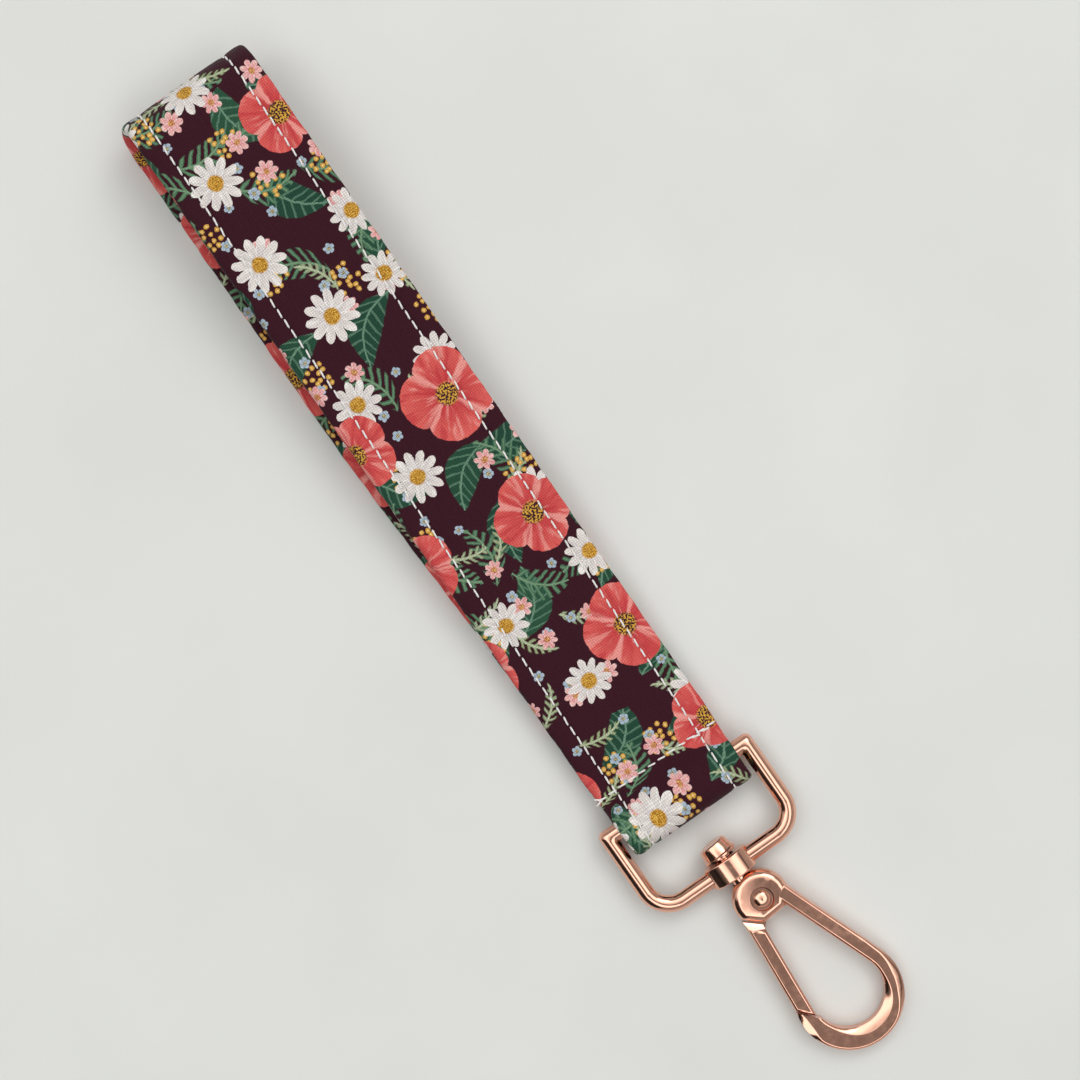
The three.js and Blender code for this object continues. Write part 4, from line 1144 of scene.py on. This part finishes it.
def plated_metal():
    """Zinc alloy, die cast, tumbled and plated in rose gold: mirror bright, with the slight
    waviness of a casting, faint hairlines from handling and a little wear in patches"""
    material, tree = new_material("rose gold plated zinc casting")
    place = add(tree, "TexCoord").outputs["Object"]
    waves = add(tree, "TexNoise", {"Vector": place, "Scale": 0.42 / MM, "Detail": 2.0})
    stretched = add(tree, "Mapping", {"Vector": place, "Rotation": (0.4, 0.3, 0.9),
                                      "Scale": (0.3 / MM, 9 / MM, 2.5 / MM)})
    hairlines = add(tree, "TexNoise", {"Vector": stretched, "Scale": 1.0, "Detail": 3.0})
    patches = add(tree, "TexNoise", {"Vector": place, "Scale": 0.9 / MM, "Detail": 4.0})
    rough = add(tree, "MapRange", [patches, 0.3, 0.75, 0.05, 0.13])
    lined = add(tree, "Math", [hairlines, 0.06, rough], operation="MULTIPLY_ADD")
    tint = add(tree, "MapRange", [patches, 0.3, 0.7, 0.96, 1.04])
    colour = tuple(bpy.context.scene.wristlet_colours.metal)
    tone = add(tree, "HueSaturation", {"Value": tint, "Color": colour})
    bump = add(tree, "Bump", {"Height": waves, "Distance": 0.03 * MM, "Strength": 0.12})
    finish_material(tree, {"Base Color": tone, "Roughness": lined, "Metallic": 1.0,
                           "Normal": bump})
    return material


def spring_wire():
    """Hard-drawn spring steel: grey and satin, its sheen uneven at a fine scale"""
    material, tree = new_material("drawn spring steel")
    place = add(tree, "TexCoord").outputs["Object"]
    lines = add(tree, "TexNoise", {"Vector": place, "Scale": 6 / MM, "Detail": 2.0})
    rough = add(tree, "MapRange", [lines, 0.3, 0.7, 0.25, 0.42])
    tone = add(tree, "ValToRGB", [lines], [(0.3, linear("#a9acb0")), (0.7, linear("#c6c8ca"))])
    finish_material(tree, {"Base Color": tone, "Roughness": rough, "Metallic": 1.0})
    return material


def pale_board():
    """Matt painted board: an even pale grey with the faintest mottling"""
    material, tree = new_material("matt pale board")
    place = add(tree, "TexCoord").outputs["Object"]
    mottle = add(tree, "TexNoise", {"Vector": place, "Scale": 0.024 / MM, "Detail": 4.0})
    tone = add(tree, "ValToRGB", [mottle], [(0.2, linear("#d7d8d4")), (0.8, linear("#dfe0dc"))])
    grain = add(tree, "TexNoise", {"Vector": place, "Scale": 2.6 / MM, "Detail": 3.0})
    bump = add(tree, "Bump", {"Height": grain, "Distance": 0.03 * MM, "Strength": 0.2})
    finish_material(tree, {"Base Color": tone, "Roughness": 0.75, "Normal": bump})
    return material


def front_cross_stitches():
    """The row that closes the loop, with two stitches sewn over at one end and short slanting
    ones at the other"""
    row = row_of_stitches(ROUTE.cross_front)
    doubled = [(u0 + 0.9, s0 + 0.3, u1 + 0.9, s1 + 0.3) for u0, s0, u1, s1 in row[-3:-1]]
    middle = ROUTE.cross_front
    return row + doubled + [(-12.9, middle - 0.7, -11.6, middle + 0.1),
                            (-13.1, middle + 0.6, -11.5, middle - 0.1)]


def zigzag():
    """The stitches of the end seam, swinging from one end of the cloth to the other"""
    crossings = np.linspace(-11.0, 11.0, 15)
    ends = []
    for i, (start, end) in enumerate(zip(crossings, crossings[1:])):
        swing = -SEAM_SWING if i % 2 == 0 else SEAM_SWING
        ends.append((start, -SEAM_HALF_GAP + swing, end, -SEAM_HALF_GAP - swing))
    return ends


def light_world(scene):
    """A soft studio whose brightness goes by height, with a shaded side and a darker oval gap
    overhead"""
    world = bpy.data.worlds.new("soft studio")
    scene.world = world
    world.use_nodes = True
    tree = world.node_tree
    tree.nodes.clear()
    way = add(tree, "TexCoord").outputs["Generated"]
    height = add(tree, "SeparateXYZ", [way])
    levels = ((0.0, 0.24), (0.975, 0.5), (0.3, 0.21), (0.53, 0.18), (0.56, 0.04),
              (0.61, 0.04), (0.65, 0.3), (0.7, 0.4), (0.79, 1.0), (0.94, 1.0))
    sky = add(tree, "ValToRGB", [height.outputs[2]],
              [(rise, (level, level, level, 1)) for rise, level in levels])
    shaded_side = Vector((-0.88, -0.17, 0.44)).normalized()
    toward = add(tree, "VectorMath", [way, shaded_side], operation="DOT_PRODUCT")
    shade = add(tree, "MapRange", [toward.outputs["Value"], 0.8, 0.85, 1.0, 0.08])
    lit_sky = add(tree, "VectorMath", {0: sky, "Scale": shade}, operation="SCALE")
    gap_middle_y, gap_half_x, gap_half_y, gap_level = -0.25, 0.13, 0.2, 0.13
    about = add(tree, "Mapping", {"Vector": way, "Location": (0.0, -gap_middle_y, 0.0),
                                  "Scale": (1.0, 1.0, 0.0)})
    oval = add(tree, "VectorMath", [about, (1 / gap_half_x, 1 / gap_half_y, 0.0)],
               operation="MULTIPLY")
    outward = add(tree, "VectorMath", [oval], operation="LENGTH")
    past_gap = add(tree, "MapRange", [outward.outputs["Value"], 0.9, 1.15, 0.0, 1.0])
    seen = add(tree, "Mix", [past_gap, (gap_level, gap_level, gap_level, 1), lit_sky],
               data_type="RGBA")
    light = add(tree, "Background", {"Color": seen, "Strength": 1.96})
    add(tree, "OutputWorld", {"Surface": light})


def place_lamps(scene):
    """Two soft lamps that face the part"""
    lamp_size = 0.5
    for name, place, power in (("window_light", (0.65, 0.35, 0.8), 1.5),
                               ("fill_light", (-0.6, 0.4, 0.6), 0.4)):
        lamp = bpy.data.lights.new(name, "AREA")
        lamp.size = lamp_size
        lamp.energy = power
        lit = bpy.data.objects.new(name, lamp)
        lit.location = place
        lit.rotation_euler = (-Vector(place)).to_track_quat("-Z", "Y").to_euler()
        scene.collection.objects.link(lit)


def place_camera(scene):
    """A camera straight above, turned so that the strap runs across the picture as in the
    photograph"""
    height_above, part_height = 0.5, 0.01
    seen_width, seen_middle, seen_turn = 0.186, (0.00544, 0.00289), -34.9
    camera = bpy.data.cameras.new("camera")
    camera.sensor_fit = "HORIZONTAL"
    camera.angle = 2 * math.atan(seen_width / 2 / (height_above - part_height))
    camera.clip_start = 0.01
    eye = bpy.data.objects.new("camera", camera)
    eye.location = (*seen_middle, height_above)
    eye.rotation_euler = (0, 0, math.radians(seen_turn))
    scene.collection.objects.link(eye)
    scene.camera = eye
    scene.view_settings.view_transform = "Standard"


class WRISTLET_OT_strap(bpy.types.Operator):
    """Folded cotton band with its interfacing, laid round the wrist loop and the clasp bar"""

    bl_idname = "wristlet.strap"
    bl_label = "Strap"

    def execute(self, context):
        cover = model_cover()
        dress(cover, "strap", printed_cotton(), "printed_cotton", "strap_cover")
        core = model_core()
        dress(core, "strap", nonwoven_interfacing(), "interfacing", "strap_core")
        return {"FINISHED"}


class WRISTLET_OT_stitching(bpy.types.Operator):
    """Topstitching along both edges, the cross stitch over the bar and the zigzag end seam"""

    bl_idname = "wristlet.stitching"
    bl_label = "Stitching"

    def execute(self, context):
        proud, sunk = 1.04, 1.0
        left, right = line_of_stitches(-STITCH_LINE), line_of_stitches(STITCH_LINE)
        front, back = front_cross_stitches(), row_of_stitches(ROUTE.cross_back)
        thread = sewing_thread()
        for seam, part, ends, face, level in (
            ("topstitch", "left_outer", left, 1, proud),
            ("topstitch", "left_inner", left, -1, proud),
            ("topstitch", "right_outer", right, 1, proud),
            ("topstitch", "right_inner", right, -1, proud),
            ("cross_stitch", "front", front, 1, proud),
            ("cross_stitch", "back", back, 1, sunk),
            ("end_seam", "outer", zigzag(), 1, sunk),
            ("end_seam", "inner", zigzag(), -1, sunk),
        ):
            piece = sew(f"{seam}_thread_{part}", ends, face, level)
            dress(piece, "strap", thread, "thread", f"{seam}_{part}")
        return {"FINISHED"}


class WRISTLET_OT_ring(bpy.types.Operator):
    """Clasp ring with its swivel collar"""

    bl_idname = "wristlet.ring"
    bl_label = "Clasp Ring"

    def execute(self, context):
        dress(model_ring(), "ring", plated_metal(), "rose_gold", "ring_frame")
        return {"FINISHED"}


class WRISTLET_OT_hook(bpy.types.Operator):
    """Swivel post, snap hook, gate rivet and gate spring"""

    bl_idname = "wristlet.hook"
    bl_label = "Snap Hook"

    def execute(self, context):
        metal = plated_metal()
        dress(model_post(), "hook", metal, "rose_gold", "swivel_post")
        dress(model_hook(), "hook", metal, "rose_gold", "hook_body")
        dress(model_pin(), "hook", metal, "rose_gold", "gate_pin")
        spring = model_spring()
        dress(spring, None, spring_wire(), "spring_wire", "gate_spring")
        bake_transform(spring)
        return {"FINISHED"}


class WRISTLET_OT_gate(bpy.types.Operator):
    """Push gate with its tongue"""

    bl_idname = "wristlet.gate"
    bl_label = "Push Gate"

    def execute(self, context):
        dress(model_gate(), "gate", plated_metal(), "rose_gold", "gate")
        return {"FINISHED"}


class WRISTLET_OT_stage(bpy.types.Operator):
    """Pale table, soft studio light and the camera straight above"""

    bl_idname = "wristlet.stage"
    bl_label = "Stage"

    def execute(self, context):
        deselect()
        bpy.ops.mesh.primitive_plane_add(size=3, location=(0, 0, 0))
        floor = named("table")
        floor.data.materials.append(pale_board())
        light_world(context.scene)
        place_lamps(context.scene)
        place_camera(context.scene)
        return {"FINISHED"}


class WRISTLET_PT_pieces(bpy.types.Panel):
    """Lists the pieces of the wristlet keychain and what can be changed"""

    bl_idname = "WRISTLET_PT_pieces"
    bl_label = "Wristlet Keychain"
    bl_space_type = "VIEW_3D"
    bl_region_type = "UI"
    bl_category = "Wristlet"

    def draw(self, context):
        for group in (context.scene.wristlet_sizes, context.scene.wristlet_colours):
            for key in group.__annotations__:
                self.layout.prop(group, key)
        for operator in OPERATORS:
            self.layout.operator(operator.bl_idname)


OPERATORS = (
    WRISTLET_OT_strap,
    WRISTLET_OT_stitching,
    WRISTLET_OT_ring,
    WRISTLET_OT_hook,
    WRISTLET_OT_gate,
    WRISTLET_OT_stage,
)
CLASSES = (WristletSizes, WristletColours, *OPERATORS, WRISTLET_PT_pieces)


def register():
    for item in CLASSES:
        bpy.utils.register_class(item)
    bpy.types.Scene.wristlet_sizes = bpy.props.PointerProperty(type=WristletSizes)
    bpy.types.Scene.wristlet_colours = bpy.props.PointerProperty(type=WristletColours)


def unregister():
    del bpy.types.Scene.wristlet_colours
    del bpy.types.Scene.wristlet_sizes
    for item in reversed(CLASSES):
        bpy.utils.unregister_class(item)


def main():
    register()
    bpy.ops.wristlet.strap()
    bpy.ops.wristlet.stitching()
    bpy.ops.wristlet.ring()
    bpy.ops.wristlet.hook()
    bpy.ops.wristlet.gate()
    bpy.ops.wristlet.stage()
    bpy.context.view_layer.update()


if __name__ == "__main__":
    main()
